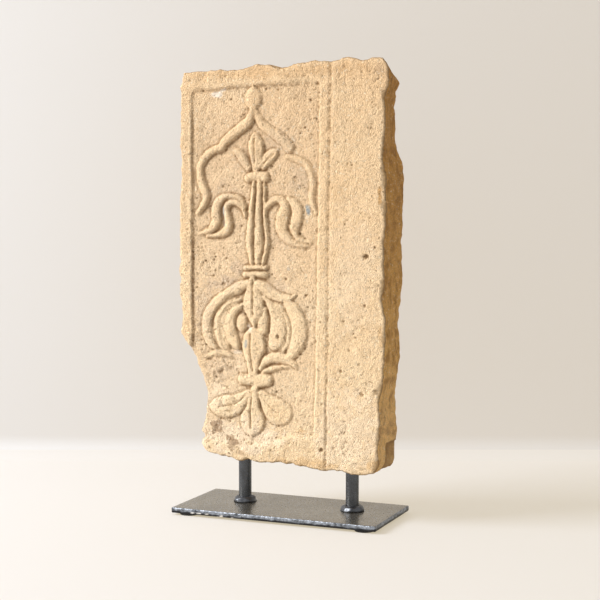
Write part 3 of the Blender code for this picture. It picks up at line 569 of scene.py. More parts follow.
# %% The sides, ring by ring, in millimetres
RIGHT_SIDE_BULGE = [
    (60, 2.5), (83, 2.5), (94, -0.5), (105, 1), (130, -1.5), (150, 0), (165, -1.2), (178, -3.8),
    (190, -1.5), (200, 3), (250, 1.8), (280, 0.7), (300, 2.2), (323, 3.7), (334, -2), (345, -5.5),
    (366, -6.3), (374.5, -6.3), (378, -8.8), (387, -9), (391, -5.5), (394, -3), (410, -1)]
REBATE_TOP = 71
REBATE_FRONT = 0
REBATE_SIDE = 85
REBATE_SLOPE = 0.2
CORNER_DROP = 16
SIDE_SWELL = [(0.8, 24.0, 2.2), (0.4, 9.0, 0.9), (0.35, 4.0, 0.3)]
SIDE_HOLES = (9.0, 0.35, 1.2, 3.0)
BACK_ARRIS = 1.8
rows, columns = front_xz.shape[0] - 1, front_xz.shape[1] - 1


def rim_of(grid):
    """A grid's rim as one loop: along the bottom, up the right, back along the top, down the left."""
    return np.concatenate([grid[0, :-1], grid[:-1, -1], grid[-1, :0:-1], grid[:0:-1, 0]])


def outward_of(loop):
    """Unit normals that point out of a closed loop, from the line through each point's neighbours."""
    along = np.roll(loop, -3, axis=0) - np.roll(loop, 3, axis=0)
    along /= np.linalg.norm(along, axis=1)[:, None]
    return np.stack([along[:, 1], -along[:, 0]], axis=1)


def side_ring(rim, outward, front, share):
    """A ring at a share of the way back: the rim moved out by its bulge and roughness, in millimetres."""
    start = front + (FACE_Y - front) * smooth_step(share, 0.1, 0.3)
    y = start + (FACE_Y + THICKNESS - 0.5 - start) * share
    heights, bulges = zip(*RIGHT_SIDE_BULGE)
    lost = smooth_step(rim[:, 0], 66, 95) * smooth_step(rim[:, 1], 355, 412)
    level = rim[:, 1] - CORNER_DROP * share ** 0.8 * lost
    bulge = np.interp(level, heights, bulges) * np.clip(outward[:, 0], 0, 1) ** 0.5
    at = np.column_stack([rim[:, 0], y, level])
    swell = layered(at, SIDE_SWELL) - 0.8 * pits(at, *SIDE_HOLES) + 0.3 * lumps(at * [1, 1, 0.4], 3.0, 5.9)
    calm = np.clip(5 * share, 0, 1) * np.clip(6 * (1 - share), 0.2, 1)
    out = swell * calm - BACK_ARRIS * np.clip(share * 12 - 11, 0, 1) ** 2
    # On top nothing swells past the front's rim: the top falls a little towards the back
    out = np.minimum(out, 4 * (1 - np.clip(outward[:, 1], 0, 1)) - 0.6 * share)
    moved_x = rim[:, 0] + outward[:, 0] * out + bulge * share ** 0.9
    missing = (level < REBATE_TOP) & (outward[:, 0] > 0.5) & (y > REBATE_FRONT)
    rebate_side = REBATE_SIDE + REBATE_SLOPE * (y - REBATE_FRONT) + 0.4 * swell
    moved_x = np.where(missing, np.minimum(moved_x, rebate_side), moved_x)
    return np.column_stack([moved_x, y, level + outward[:, 1] * out])


def in_rebate(places):
    """1 where the block is missing, strongest in its front corner and under its top, 0 elsewhere: where the
    material paints the recess's shade.
    """
    x, y, z = places.T
    inside = (x > REBATE_SIDE - 4) & (y > REBATE_FRONT) & (z < REBATE_TOP + 0.5)
    corner = np.maximum(1 - (y - REBATE_FRONT) / 30, 1 - (REBATE_TOP - z) / 6)
    return inside * np.clip(0.45 + 0.7 * corner, 0, 1.1)


def in_crack(places):
    """1 along a dark crack down the right side's upper corner, 0 elsewhere."""
    x, y, z = places.T
    middle = -8 + 0.12 * (z - 392) + 0.8 * lumps(places, 5.0, 2.6)
    run = smooth_step(z, 374, 382) * (1 - smooth_step(z, 402, 409)) * (x > 82)
    return run * np.exp(-((y - middle) / 1.6) ** 2)


front_points = np.stack([x, FACE_Y - height, z], axis=-1)
rim_points = rim_of(front_points)
rim_xz = rim_points[:, [0, 2]]
rim_out = outward_of(rim_xz)
fine_shares = [0.02, 0.055, 0.1]
at_rebate = (REBATE_FRONT - FACE_Y + np.array([-0.3, 0.5])) / (THICKNESS - 0.5)
coarse_shares = [*np.linspace(0.1, at_rebate[0], 6)[1:], *np.linspace(at_rebate[1], 1, 12)]
fine_rings = [side_ring(rim_xz, rim_out, rim_points[:, 1], s) for s in fine_shares]
half_rim, half_out = rim_xz[::2], rim_out[::2]
coarse_rings = [side_ring(half_rim, half_out, rim_points[::2, 1], s) for s in coarse_shares]
print("Side rings:", len(fine_rings), "fine and", len(coarse_rings), "coarse")

# %% [markdown]
# Nobody sees the back of such a slab in its wall, so the mason left it rough: shallow furrows of a
# point chisel run across it, and most are worn away. It is one more Coons patch between the last ring's
# four sides. All parts share their rims' points, so the slab is one closed mesh.

# %% The back
BACK_SWELL = [(0.9, 45.0, 4.4), (0.6, 16.0, 1.1), (0.35, 7.0, 2.9)]
FURROW_STEP = 15.0
FURROW_DEPTH = 1.4
back_rows, back_columns = rows // 4, columns // 4
last = coarse_rings[-1][::2]
corner = [0, back_columns, back_columns + back_rows, 2 * back_columns + back_rows, len(last)]
closed = np.vstack([last, last[:1]])
back_bottom, back_right, back_top, back_left = (closed[a:b + 1] for a, b in zip(corner, corner[1:]))
back = coons(back_bottom, back_top[::-1], back_left[::-1], back_right, u_steps[::4], v_steps[::4])
inner = back[1:-1, 1:-1]
at_back = inner.copy()
inner[..., 1] = FACE_Y + THICKNESS + layered(at_back, BACK_SWELL)
furrow = (0.55 * at_back[..., 0] + 0.84 * at_back[..., 2] + 4 * lumps(at_back, 40.0, 7.1)) / FURROW_STEP
worn_away = smooth_step(lumps(at_back, 30.0, 3.8), -0.1, 0.4)
inner[..., 1] -= FURROW_DEPTH * (1 - 0.8 * worn_away) * np.abs(2 * (furrow % 1) - 1) ** 2
print("Back:", back_rows, "rows by", back_columns, "columns")


# %% The whole slab as one closed mesh
def strip(near, far):
    """Quads between two rings with the same number of points, facing out."""
    return np.stack([near, far, np.roll(far, -1), np.roll(near, -1)], axis=1)


def halving_strip(fine, coarse):
    """Triangles from a ring to one with half its points, three for each point of the coarse ring."""
    first, second, third = fine[::2], fine[1::2], np.roll(fine[::2], -1)
    after = np.roll(coarse, -1)
    return np.concatenate([
        np.stack([first, coarse, second], axis=1), np.stack([second, coarse, after], axis=1),
        np.stack([second, after, third], axis=1)])


front_ids = np.arange(front_points.shape[0] * front_points.shape[1]).reshape(front_points.shape[:2])
slab_points = [front_points.reshape(-1, 3)]
slab_quads = [grid_quads(front_ids)]
slab_triangles = []
near = rim_of(front_ids)
used = front_ids.size
for ring in [*fine_rings, *coarse_rings]:
    far = used + np.arange(len(ring))
    if len(ring) == len(near):
        slab_quads.append(strip(near, far))
    else:
        slab_triangles.append(halving_strip(near, far))
    slab_points.append(ring)
    near, used = far, used + len(ring)

back_ids = np.full(back.shape[:2], -1)
back_ids[1:-1, 1:-1] = used + np.arange(inner.shape[0] * inner.shape[1]).reshape(inner.shape[:2])
closed_ids = np.append(near[::2], near[0])
for edge, a, b in zip((back_ids[0], back_ids[:, -1], back_ids[-1, ::-1], back_ids[::-1, 0]),
                      corner, corner[1:]):
    edge[:] = closed_ids[a:b + 1]
slab_points.append(inner.reshape(-1, 3))
slab_quads.append(grid_quads(back_ids.T))
slab_triangles.append(np.stack([near[::2], np.roll(near[::2], -1), near[1::2]], axis=1))

points = np.concatenate(slab_points)
stone = new_piece("carved_slab", points * MM, np.concatenate(slab_quads), np.concatenate(slab_triangles))
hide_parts("carved_stone")

# %% [markdown]
# Dirt, painted shade and breaks follow the shape, so each point keeps a few numbers that the material
# reads: how hollow, how pitted and how far in the lee of the light it is, for dirt and painted shade,
# whether it is the panel's ground, and how freshly broken. The right side is the freshest break, its
# deep ochre partly painted shade, and the back is old and dull.

# %% What the material reads from the points
OLD_BACK = 0.3
beyond = points[front_ids.size:]
on_right = smooth_step(beyond[:, 0], 64, 82) * (1 - smooth_step(beyond[:, 1], 28, 29.4))
# How deep an ochre the right side gets, more towards the top: the break's colour and painted shade
right_ochre_and_shade = 1 - 0.4 * smooth_step(-beyond[:, 2], -330, -60)
masks = {
    # The missing block's recess is darkened through hollow and pit as painted shade
    "hollow": (hollow, np.maximum(in_rebate(beyond), in_crack(beyond))),
    "ground": (ground, 0),
    "pit": (pit_shade, 0.6 * in_rebate(beyond)),
    "lee": (lee, 0),
    "broken": ((0.15 + 0.35 * chipped) * (1 - smooth_step(to_edge, 0, 3)),
               OLD_BACK + (right_ochre_and_shade - OLD_BACK) * on_right),
}
for name, (on_front, elsewhere) in masks.items():
    store(stone, name, np.append(on_front.ravel(), np.zeros(len(beyond)) + elsewhere))
print("Kept on the points:", *masks)

# %% [markdown]
# Old stains lie on the face in a few known places, and a painted shadow lies along the panel's walls.
# Each is a soft patch with an uneven rim, kept as a colour on the points, with its strength as the
# alpha. The material lays it over the stone's colour.

# %% Stains: colour, then x, z, half width, half height and strength of each patch
STAINS = {
    "pale bloom": ((1, 0.83, 0.64), [
        (-45, 72, 44, 20, 0.5), (64, 80, 34, 44, 0.35), (-70, 108, 16, 14, 0.3), (66, 230, 24, 60, 0.2)]),
    "grey dirt": ((0.66, 0.515, 0.38), [
        (-80, 185, 12, 30, 0.45), (-58, 214, 16, 6, 0.6), (-6, 211, 12, 6, 0.4), (-60, 290, 24, 14, 0.3),
        (-66, 132, 18, 16, 0.3), (18, 310, 14, 16, 0.35), (-5, 342, 18, 12, 0.35),
        (-40, 325, 10, 12, 0.35), (-45, 226, 8, 9, 0.45), (0, 252, 14, 8, 0.25)]),
    "brown crust": ((0.4, 0.27, 0.175), [
        (-68, 80, 7, 9, 0.8), (-51, 65, 8, 9, 0.8), (-42, 57, 6, 3, 0.6), (-78, 70, 4, 8, 0.4),
        (92, 404, 6, 5, 0.35), (-98, 300, 3, 80, 0.2)]),
    "blue-grey": ((0.33, 0.39, 0.42), [
        (24.5, 279, 3.2, 7, 0.9), (-60, 276, 2.2, 10, 0.85), (-59, 267, 1.8, 3, 0.9),
        (-37, 158, 1.5, 3.6, 0.8), (5, 228, 1.6, 2, 0.4)]),
    "pale chip": ((1, 0.93, 0.82), [
        (-67, 386, 7, 2.6, 0.9), (-60, 389.5, 3.5, 1.6, 0.8), (-34, 173, 3, 4, 0.5),
        (-46, 150, 5, 2, 0.4)]),
    # Painted shadow: dark lines along the panel's walls, where the border's shadow falls
    "painted wall shadow": ((0.34, 0.215, 0.12), [
        (-91.4, 205, 1.3, 62, 0.75), (-91.2, 330, 0.8, 62, 0.45), (35, 120, 1, 40, 0.35)]),
    "orange": ((0.66, 0.38, 0.14), [
        (18, 81, 5, 2.4, 0.45), (93, 294, 3, 9, 0.75), (28, 52, 40, 5, 0.35), (-10, 404, 110, 6, 0.22),
        (94, 170, 2.5, 12, 0.4), (86, 54, 6, 6, 0.4)]),
}
stain = np.zeros((len(points), 4))
front_x, front_z = x.ravel(), z.ravel()
rim_noise = 0.5 * lumps(on_face, 5.0, 7.7).ravel() + 0.35 * lumps(on_face, 1.9, 3.1).ravel()
for color, patches in STAINS.values():
    for at_x, at_z, half_x, half_z, strength in patches:
        away = np.hypot((front_x - at_x) / half_x, (front_z - at_z) / half_z) + rim_noise
        share = strength * (1 - smooth_step(away, 0.5, 1.15))
        stronger = share > stain[:share.size, 3]
        stain[:share.size][stronger] = np.column_stack(
            [np.tile(color, (stronger.sum(), 1)), share[stronger]])
layer = stone.data.attributes.new("stain", "FLOAT_COLOR", "POINT")
layer.data.foreach_set("color", stain.astype(np.float32).ravel())
print("Stained points:", int((stain[:, 3] > 0.1).sum()))

# %% [markdown]
# Small helpers keep the materials short: one adds a node with its settings, one mixes two colours by a
# mask, one lays several colours over each other, and one adds a bump. Each material is made of nodes
# that work from the object's own coordinates, because such a pattern is sharp from near and far.

# %% Helpers for materials


def set_inputs(tree, node, inputs):
    """A node's inputs, by name or number: a value is set on the input, and a socket is linked to it."""
    for name, value in inputs.items():
        if isinstance(value, bpy.types.NodeSocket):
            tree.links.new(value, node.inputs[name])
        else:
            node.inputs[name].default_value = value


def add_node(tree, kind, inputs=None, **settings):
    """A shader node with its settings and its inputs."""
    made = tree.nodes.new("ShaderNode" + kind)
    for name, value in settings.items():
        setattr(made, name, value)
    set_inputs(tree, made, inputs or {})
    return made


def rgba(red, green, blue):
    return (red, green, blue, 1)


def mixed(tree, share, first, second, blend="MIX"):
    """The colour between two, by a share that varies over the surface."""
    made = add_node(tree, "Mix", data_type="RGBA", blend_type=blend)
    set_inputs(tree, made, {"Factor": share, 6: first, 7: second})
    return made.outputs[2]


def ranged(tree, value, low, high, to_low=0.0, to_high=1.0):
    """A value stretched from one range to another, without going past its ends."""
    made = add_node(tree, "MapRange", {"Value": value, "From Min": low, "From Max": high,
                                       "To Min": to_low, "To Max": to_high})
    return made.outputs["Result"]


def laid_over(tree, color, layers):
    """Colours laid over one another. Each layer is a mask, its low and high end, a strength, a colour."""
    for mask, low, high, strength, above in layers:
        color = mixed(tree, ranged(tree, mask, low, high, 0, strength), color, above)
    return color


def add_bump(tree, shader, height, strength, distance):
    """Tilts the shader's normal as a height would that varies by this distance, in metres."""
    made = add_node(tree, "Bump", {"Strength": strength, "Distance": distance, "Height": height})
    tree.links.new(made.outputs["Normal"], shader.inputs["Normal"])


def new_material(name):
    made = bpy.data.materials.new(name)
    made.use_nodes = True
    return made, made.node_tree, made.node_tree.nodes["Principled BSDF"]


# %% [markdown]
# Stone, steel and rubber all have a drift of tone, a fine mottle, dark spots in clusters, and grains.
# One shader group makes these masks, and each material sets their scales: the higher, the finer.

# %% Speckle group: drift, mottle, spots and grains as masks
SPECKLE_INPUTS = ("Broad Scale", "Fine Scale", "Spot Scale", "Spot Level", "Grain Scale")


def speckle_group():
    """Masks from 0 to 1: broad, fine, spots in clusters, and grains as shades and as little domes."""
    group = bpy.data.node_groups.new("speckle", "ShaderNodeTree")
    for name in SPECKLE_INPUTS:
        group.interface.new_socket(name, in_out="INPUT", socket_type="NodeSocketFloat")
    for name in ("Broad", "Fine", "Spots", "Grain Shade", "Grain Height"):
        group.interface.new_socket(name, in_out="OUTPUT", socket_type="NodeSocketFloat")
    given = group.nodes.new("NodeGroupInput").outputs
    result = group.nodes.new("NodeGroupOutput")
    where = add_node(group, "TexCoord").outputs["Object"]

    def noise(scale, detail, roughness):
        return add_node(group, "TexNoise", {"Vector": where, "Scale": given[scale], "Detail": detail,
                                            "Roughness": roughness}).outputs["Fac"]

    broad, fine = noise("Broad Scale", 4.0, 0.55), noise("Fine Scale", 3.0, 0.6)
    spots = noise("Spot Scale", 1.5, 0.5)
    clusters = ranged(group, broad, 0.3, 0.7, -0.07, 0.05)
    level = add_node(group, "Math", {0: given["Spot Level"], 1: clusters}).outputs["Value"]
    edge = add_node(group, "Math", {0: level, 1: spots}, operation="SUBTRACT").outputs["Value"]
    grains = add_node(group, "TexVoronoi", {"Vector": where, "Scale": given["Grain Scale"]}).outputs
    made = {"Broad": ranged(group, broad, 0.3, 0.7), "Fine": ranged(group, fine, 0.3, 0.7),
            "Spots": ranged(group, edge, 0.0, 0.05),
            "Grain Shade": add_node(group, "SeparateColor", {"Color": grains["Color"]}).outputs["Red"],
            "Grain Height": ranged(group, grains["Distance"], 0.0, 0.8, 1.0, 0.0)}
    for name, socket in made.items():
        group.links.new(socket, result.inputs[name])
    return group


SPECKLE = speckle_group()


def speckle(tree, broad, fine, spots, spot_level, grain=900.0):
    """The group's five outputs, in the order broad, fine, spots, grain shade and grain height."""
    values = dict(zip(SPECKLE_INPUTS, (broad, fine, spots, spot_level, grain)))
    return add_node(tree, "Group", values, node_tree=SPECKLE).outputs


print("Speckle group has", len(SPECKLE.nodes), "nodes")

# %% [markdown]
# Sandstone is a warm tan, paler on worn arrises, and darker brown in the hollows of the carving, where
# dirt stays and painted shade lies, and on slopes turned away from the light, in painted shade. Painted
# shade also makes it a little duller towards the top. The broken side is a deeper ochre, partly painted
# shade, brown in the crack and in painted shade under the missing block. Each grain of sand has its own
# shade and is a tiny dome of the bump, with small dark pits between the grains.

# %% Sandstone
LIT_TAN = rgba(0.95, 0.75, 0.495)
WARM_TAN = rgba(0.895, 0.65, 0.39)
GROUND_TAN = rgba(0.80, 0.61, 0.42)
# Dark brown for dirt, and for painted shade in hollows, pits, the recess and on slopes away from the light
SHADE_AND_DIRT_BROWN = rgba(0.31, 0.175, 0.075)
BREAK_PALE = rgba(0.82, 0.49, 0.16)
# The right side's deep ochre: the break's colour and painted shade
BREAK_OCHRE_AND_SHADE = rgba(0.63, 0.335, 0.088)
BREAK_BROWN = rgba(0.40, 0.195, 0.05)
PALE_GRAIN = rgba(1.0, 0.90, 0.70)
# Painted shade by height: none at the foot, a little towards the top
FOOT_SHADE = rgba(1.0, 1.0, 1.0)
PAINTED_TOP_SHADE = rgba(0.835, 0.79, 0.755)


def sandstone():
    """Tone, stains and breaks, then dirt and painted shade, grain shades, painted shade by height, pale
    sand, dark pits.
    """
    material, tree, shader = new_material("sandstone")
    broad, fine, spots, shade, dome = speckle(tree, 30.0, 480.0, 330.0, 0.345, 820.0)
    blotch, _, pale, small_shade, small_dome = speckle(tree, 110.0, 1300.0, 480.0, 0.36, 1500.0)
    kept = {name: add_node(tree, "Attribute", attribute_name=name).outputs
            for name in ("ground", "hollow", "stain", "broken", "lee", "pit")}
    in_hollow, break_mask = kept["hollow"]["Fac"], kept["broken"]["Fac"]

    color = laid_over(tree, mixed(tree, broad, WARM_TAN, LIT_TAN), [
        (blotch, 0.1, 0.9, 0.4, WARM_TAN),
        (kept["ground"]["Fac"], 0.1, 1, 0.4, GROUND_TAN)])
    color = mixed(tree, kept["stain"]["Alpha"], color, kept["stain"]["Color"])
    # The breaks' colour, which on the right side is partly painted shade
    break_tone_and_shade = mixed(tree, ranged(tree, break_mask, 0.6, 1.0), BREAK_PALE, BREAK_OCHRE_AND_SHADE)
    break_tone_and_shade = laid_over(tree, break_tone_and_shade, [(blotch, 0.6, 0.1, 0.9, BREAK_BROWN)])
    # Over them: dirt and painted shade in the hollows, painted shade on slopes away from the light, paler
    # raised places
    color = laid_over(tree, color, [
        (break_mask, 0.1, 0.7, 0.95, break_tone_and_shade),
        (in_hollow, 0.15, 1.0, 0.5, SHADE_AND_DIRT_BROWN),
        (kept["lee"]["Fac"], 0.15, 0.9, 0.32, SHADE_AND_DIRT_BROWN),
        (in_hollow, -0.05, -0.5, 0.35, LIT_TAN)])

    grain = add_node(tree, "Math", {0: shade, 1: small_shade}).outputs["Value"]
    grain = add_node(tree, "Math", {0: grain, 1: fine}).outputs["Value"]
    grain = ranged(tree, grain, 0.3, 2.7, 0.80, 1.2)
    grains = add_node(tree, "CombineColor", {0: grain, 1: grain, 2: grain}).outputs["Color"]
    # Painted shade: the colour grows a little duller from the foot to the top
    where = add_node(tree, "TexCoord").outputs["Object"]
    level = add_node(tree, "SeparateXYZ", {"Vector": where}).outputs["Z"]
    height_painted_shade = mixed(tree, ranged(tree, level, 0.07, 0.40), FOOT_SHADE, PAINTED_TOP_SHADE)
    for factor in (grains, height_painted_shade):
        color = mixed(tree, 1.0, color, factor, "MULTIPLY")
    # Pale sand and dark spots between the grains, then painted shade in the pits and the recess
    color = laid_over(tree, color, [
        (pale, 0, 1, 0.4, PALE_GRAIN),
        (spots, 0, 1, 0.45, SHADE_AND_DIRT_BROWN),
        (kept["pit"]["Fac"], 0.1, 0.7, 0.8, SHADE_AND_DIRT_BROWN)])
    set_inputs(tree, shader, {"Base Color": color, "Roughness": 0.95, "Specular IOR Level": 0.2})
    relief = add_node(tree, "Math", {0: dome, 1: spots}, operation="SUBTRACT").outputs["Value"]
    relief = add_node(tree, "Math", {0: relief, 1: small_dome}).outputs["Value"]
    add_bump(tree, shader, relief, 1.0, 0.0008)
    return material


stone.data.materials.append(sandstone())
print("Sandstone on", stone.name)

# %% [markdown]
# The stand is mild steel, blackened and waxed. Its plate is satin enough to mirror the rods softly,
# and its sawn front edge is rough, with a painted bluish reflection along its upper band. The rods and
# the welds are darker and shinier.

# %% Blackened steel: dark and light tone, roughness and the bump's distance in metres
SOOT = rgba(0.02, 0.02, 0.022)
STEELS = {
    "plate_steel": (rgba(0.22, 0.205, 0.175), rgba(0.31, 0.29, 0.25), 0.25, 0.00004),
    "rod_steel": (rgba(0.07, 0.073, 0.078), rgba(0.12, 0.128, 0.14), 0.27, 0.00002),
    "weld_steel": (rgba(0.06, 0.063, 0.07), rgba(0.13, 0.14, 0.16), 0.38, 0.0001),
}


def blackened_steel(name, dark, light, roughness, bump_depth):
    """Steel whose colour and gloss drift a little over the surface, with a fine mottle."""
    material, tree, shader = new_material(name)
    broad, fine, spots, *_ = speckle(tree, 45.0, 420.0, 260.0, 0.36)
    color = laid_over(tree, mixed(tree, broad, dark, light), [(spots, 0, 1, 0.3, SOOT)])
    gloss = ranged(tree, fine, 0, 1, roughness - 0.05, roughness + 0.07)
    set_inputs(tree, shader, {"Base Color": color, "Metallic": 0.85, "Roughness": gloss})
    add_bump(tree, shader, fine, 0.3, bump_depth)
    return material


def sawn_steel():
    """The plate's edge: near black, with a rubbed upper band painted bluish as a reflection, and bare metal
    in the chips.
    """
    material, tree, shader = new_material("edge_steel")
    broad, fine, spots, *_ = speckle(tree, 260.0, 900.0, 330.0, 0.38)
    scuff_and_reflection = add_node(tree, "Attribute", attribute_name="scuff_and_reflection").outputs["Fac"]
    bare = add_node(tree, "Attribute", attribute_name="bare").outputs["Fac"]
    # Painted reflection: the bluish marks on the rubbed upper band stand for the window mirrored in the edge
    bluish_reflection_streaks = mixed(tree, broad, rgba(0.03, 0.034, 0.04), rgba(0.42, 0.46, 0.53))
    color = mixed(tree, scuff_and_reflection, rgba(0.018, 0.018, 0.02), bluish_reflection_streaks)
    color = mixed(tree, bare, color, rgba(0.85, 0.83, 0.80))
    color = laid_over(tree, color, [(spots, 0, 1, 0.5, SOOT)])
    gloss = ranged(tree, fine, 0, 1, 0.3, 0.55)
    set_inputs(tree, shader, {"Base Color": color, "Metallic": 0.7, "Roughness": gloss})
    add_bump(tree, shader, fine, 0.5, 0.0003)
    return material


steels = {name: blackened_steel(name, *settings) for name, settings in STEELS.items()}
edge_steel = sawn_steel()
print("Steels:", *steels, edge_steel.name)

# %% [markdown]
# The plate is a length of flat bar whose arrises were rounded with a file. It could be a cube with a
# bevel. Here it is a stack of rings from below to above, because its edge then has enough points to be
# rough, and to say where the blacking is rubbed and painted with a bluish reflection, or chipped off.

# %% From rings to a closed piece, and the plate
plate_low, plate_high = (np.array(c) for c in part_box("base_plate"))
PLATE_CORNER = 1.2 * MM
PLATE_ROUND = 0.9 * MM
EDGE_ROUGHNESS = 0.22 * MM
EDGE_LUMPS = [(1, 3.0, 0), (0.6, 1.4, 0.5)]
PLATE_STEPS = 170
CORNER_STEPS = 5
EDGE_LEVELS = 7
# Bare metal on the front edge, in millimetres: the middle's x and height over the ground, half extents
BARE_X, BARE_HALF_X = -55, 26
BARE_Z, BARE_HALF_Z = 3, 1.1


def piece_from_rings(name, rings, low_pole, high_pole):
    """A closed piece from a stack of rings (count, around, 3), lowest first, with a fan at both ends."""
    count, around = rings.shape[:2]
    ids = np.arange(count * around).reshape(count, around)
    after = np.roll(ids, -1, axis=1)
    quads = grid_quads(np.column_stack([ids, ids[:, 0]]))
    foot, top = np.full((2, around), ids.size) + [[0], [1]]
    fans = np.concatenate([np.stack([after[0], ids[0], foot], axis=1),
                           np.stack([ids[-1], after[-1], top], axis=1)])
    return new_piece(name, np.vstack([rings.reshape(-1, 3), low_pole, high_pole]), quads, fans)


def rounded_rectangle(half, inset):
    """Points round the plate's outline, which has round corners, all moved inwards by an inset."""
    arcs = []
    for quarter, sign in enumerate([(1, -1), (1, 1), (-1, 1), (-1, -1)]):
        angles = math.pi / 2 * (quarter - 1 + np.linspace(0, 1, CORNER_STEPS))
        turn = np.stack([np.cos(angles), np.sin(angles)], axis=1)
        arcs.append(np.array(sign) * (half - PLATE_CORNER) + (PLATE_CORNER - inset) * turn)
    t = np.linspace(0, 1, PLATE_STEPS, endpoint=False)[1:, None]
    return np.concatenate([part for arc, following in zip(arcs, arcs[1:] + arcs[:1])
                           for part in (arc, arc[-1] + t * (following[0] - arc[-1]))])


def make_plate():
    """Rings of a share shrunk, an inset and a level: flat below, quarter round, edge, and up again."""
    half = (plate_high - plate_low)[:2] / 2
    upper = [(1 - share, 0.0, plate_high[2]) for share in (0.3, 0.6, 0.85, 0.96)]
    upper += [(0.0, PLATE_ROUND * (1 - math.sin(a)), plate_high[2] - PLATE_ROUND * (1 - math.cos(a)))
              for a in np.linspace(0, math.pi / 2, 5)]
    lower = [(shrink, inset, plate_low[2] + plate_high[2] - level) for shrink, inset, level in upper]
    middle = [(0.0, 0.0, level) for level in np.linspace(plate_low[2], plate_high[2], EDGE_LEVELS)[2:-2]]
    rings = lower + middle + upper[::-1]
    outline = rounded_rectangle(half, 0)
    outward = np.sign(outline) * (np.abs(outline) > half - 2 * PLATE_CORNER)
    points = np.array([np.column_stack([rounded_rectangle(half, inset) * (1 - shrink),
                                        np.full(len(outline), level)]) for shrink, inset, level in rings])
    on_edge = np.array([shrink == 0.0 for shrink, _, _ in rings])
    rough = layered(points[on_edge] / MM, EDGE_LUMPS)
    points[on_edge, :, :2] -= outward[None] * (EDGE_ROUGHNESS * (0.8 + 0.5 * rough))[..., None]
    middle_x, middle_y, _ = (plate_high + plate_low) / 2
    points += np.array([middle_x, middle_y, 0])
    poles = [[middle_x, middle_y, plate_low[2]], [middle_x, middle_y, plate_high[2]]]
    piece = piece_from_rings("steel_plate", points, *poles)

    where = np.vstack([points.reshape(-1, 3), poles]) / MM
    # How high on the edge: the upper band is rubbed and painted with a bluish reflection
    height_on_edge = (where[:, 2] - plate_low[2] / MM) + 0.8 * lumps(where, 4.0, 2.0)
    store(piece, "scuff_and_reflection", smooth_step(height_on_edge, 1.6, 2.6))
    chips = smooth_step(lumps(where * [0.5, 1, 1], 2.2, 7.7), 0.1, 0.35) * (where[:, 1] < 0)
    chips *= (np.abs(where[:, 0] - BARE_X) < BARE_HALF_X) * (np.abs(where[:, 2] - BARE_Z) < BARE_HALF_Z)
    store(piece, "bare", chips)
    return piece


plate = make_plate()
plate.data.set_sharp_from_angle(angle=math.radians(50))
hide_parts("base_plate")
plate.data.materials.append(steels["plate_steel"])
plate.data.materials.append(edge_steel)
edge_faces = np.zeros(len(plate.data.polygons), np.int32)
normals = np.zeros(len(plate.data.polygons) * 3, np.float32)
plate.data.polygons.foreach_get("normal", normals)
edge_faces[np.abs(normals.reshape(-1, 3)[:, 2]) < 0.85] = 1
plate.data.polygons.foreach_set("material_index", edge_faces)

# %% [markdown]
# The two rods are drawn round bar, cut square, with the arris taken off. They carry the stone's weight
# down to the plate. A cylinder would do. Here a profile is carried round an upright axis, because the
# welds and the pads can be made the same way, and a profile can be made a little uneven.

# %% Turned pieces, and the rods
ROD_ARRIS = 0.4 * MM
ROD_LEVELS = 30


def turned_piece(name, centre, profile, sides, shift=None):
    """A surface of revolution: radius and height along a profile from the axis out and back to it."""
    radii, heights = np.array(profile, float).T
    angles = np.linspace(0, math.tau, sides, endpoint=False)
    radius, angle = np.meshgrid(radii, angles, indexing="ij")
    level = np.repeat(heights[:, None], sides, axis=1)
    if shift:
        radius, level = shift(radius, level, angle)
    points = np.stack([centre[0] + radius * np.cos(angle), centre[1] + radius * np.sin(angle), level],
                      axis=-1)
    return piece_from_rings(name, points, *([centre[0], centre[1], h] for h in heights[[0, -1]]))


def drawn_bar(radius, level, angle):
    """Moves a rod's points in and out by a few hundredths of a millimetre."""
    at = np.stack([radius * np.cos(angle), radius * np.sin(angle), level], axis=-1) / MM
    return radius + 0.03 * MM * lumps(at, 5.0), level


for side in ("left", "right"):
    low, high = (np.array(c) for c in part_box("rod_" + side))
    centre, radius = (low + high) / 2, (high[0] - low[0]) / 2
    rod_profile = [(radius, h) for h in np.linspace(low[2] + ROD_ARRIS, high[2] - ROD_ARRIS, ROD_LEVELS)]
    rod_profile = [(radius - ROD_ARRIS, low[2]), *rod_profile, (radius - ROD_ARRIS, high[2])]
    rod = turned_piece("steel_rod_" + side, centre, rod_profile, 48, drawn_bar)
    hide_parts("rod_" + side)
    rod.data.materials.append(steels["rod_steel"])

# %% [markdown]
# A bead of weld metal holds each rod to the plate. It was laid by hand, so it swells and dips on its
# way round. A plain quarter round is turned first and then moved by lumps, but not where it meets the
# rod and the plate.

# %% Welds
ROD_RADIUS = 6 * MM
WELD_HEIGHT = 5 * MM


def lumpy_bead(inner, outer, foot, shift):
    """How a bead's points move: up and outwards by lumps, more so far from the rod, never at the foot."""
    def move(radius, level, angle):
        turn = np.stack([np.cos(angle), np.sin(angle), level / WELD_HEIGHT], axis=-1)
        lump, ripple = lumps(turn, 0.55, shift), lumps(turn, 0.2, 2.7)
        above = level > foot + 0.1 * MM
        free = np.clip((radius - inner) / (outer - inner), 0, 1) * above
        raised = level + 0.8 * MM * lump * above + 0.2 * MM * ripple * (level > foot)
        return radius + (0.9 * lump + 0.3 * ripple - 0.6) * MM * free, raised
    return move


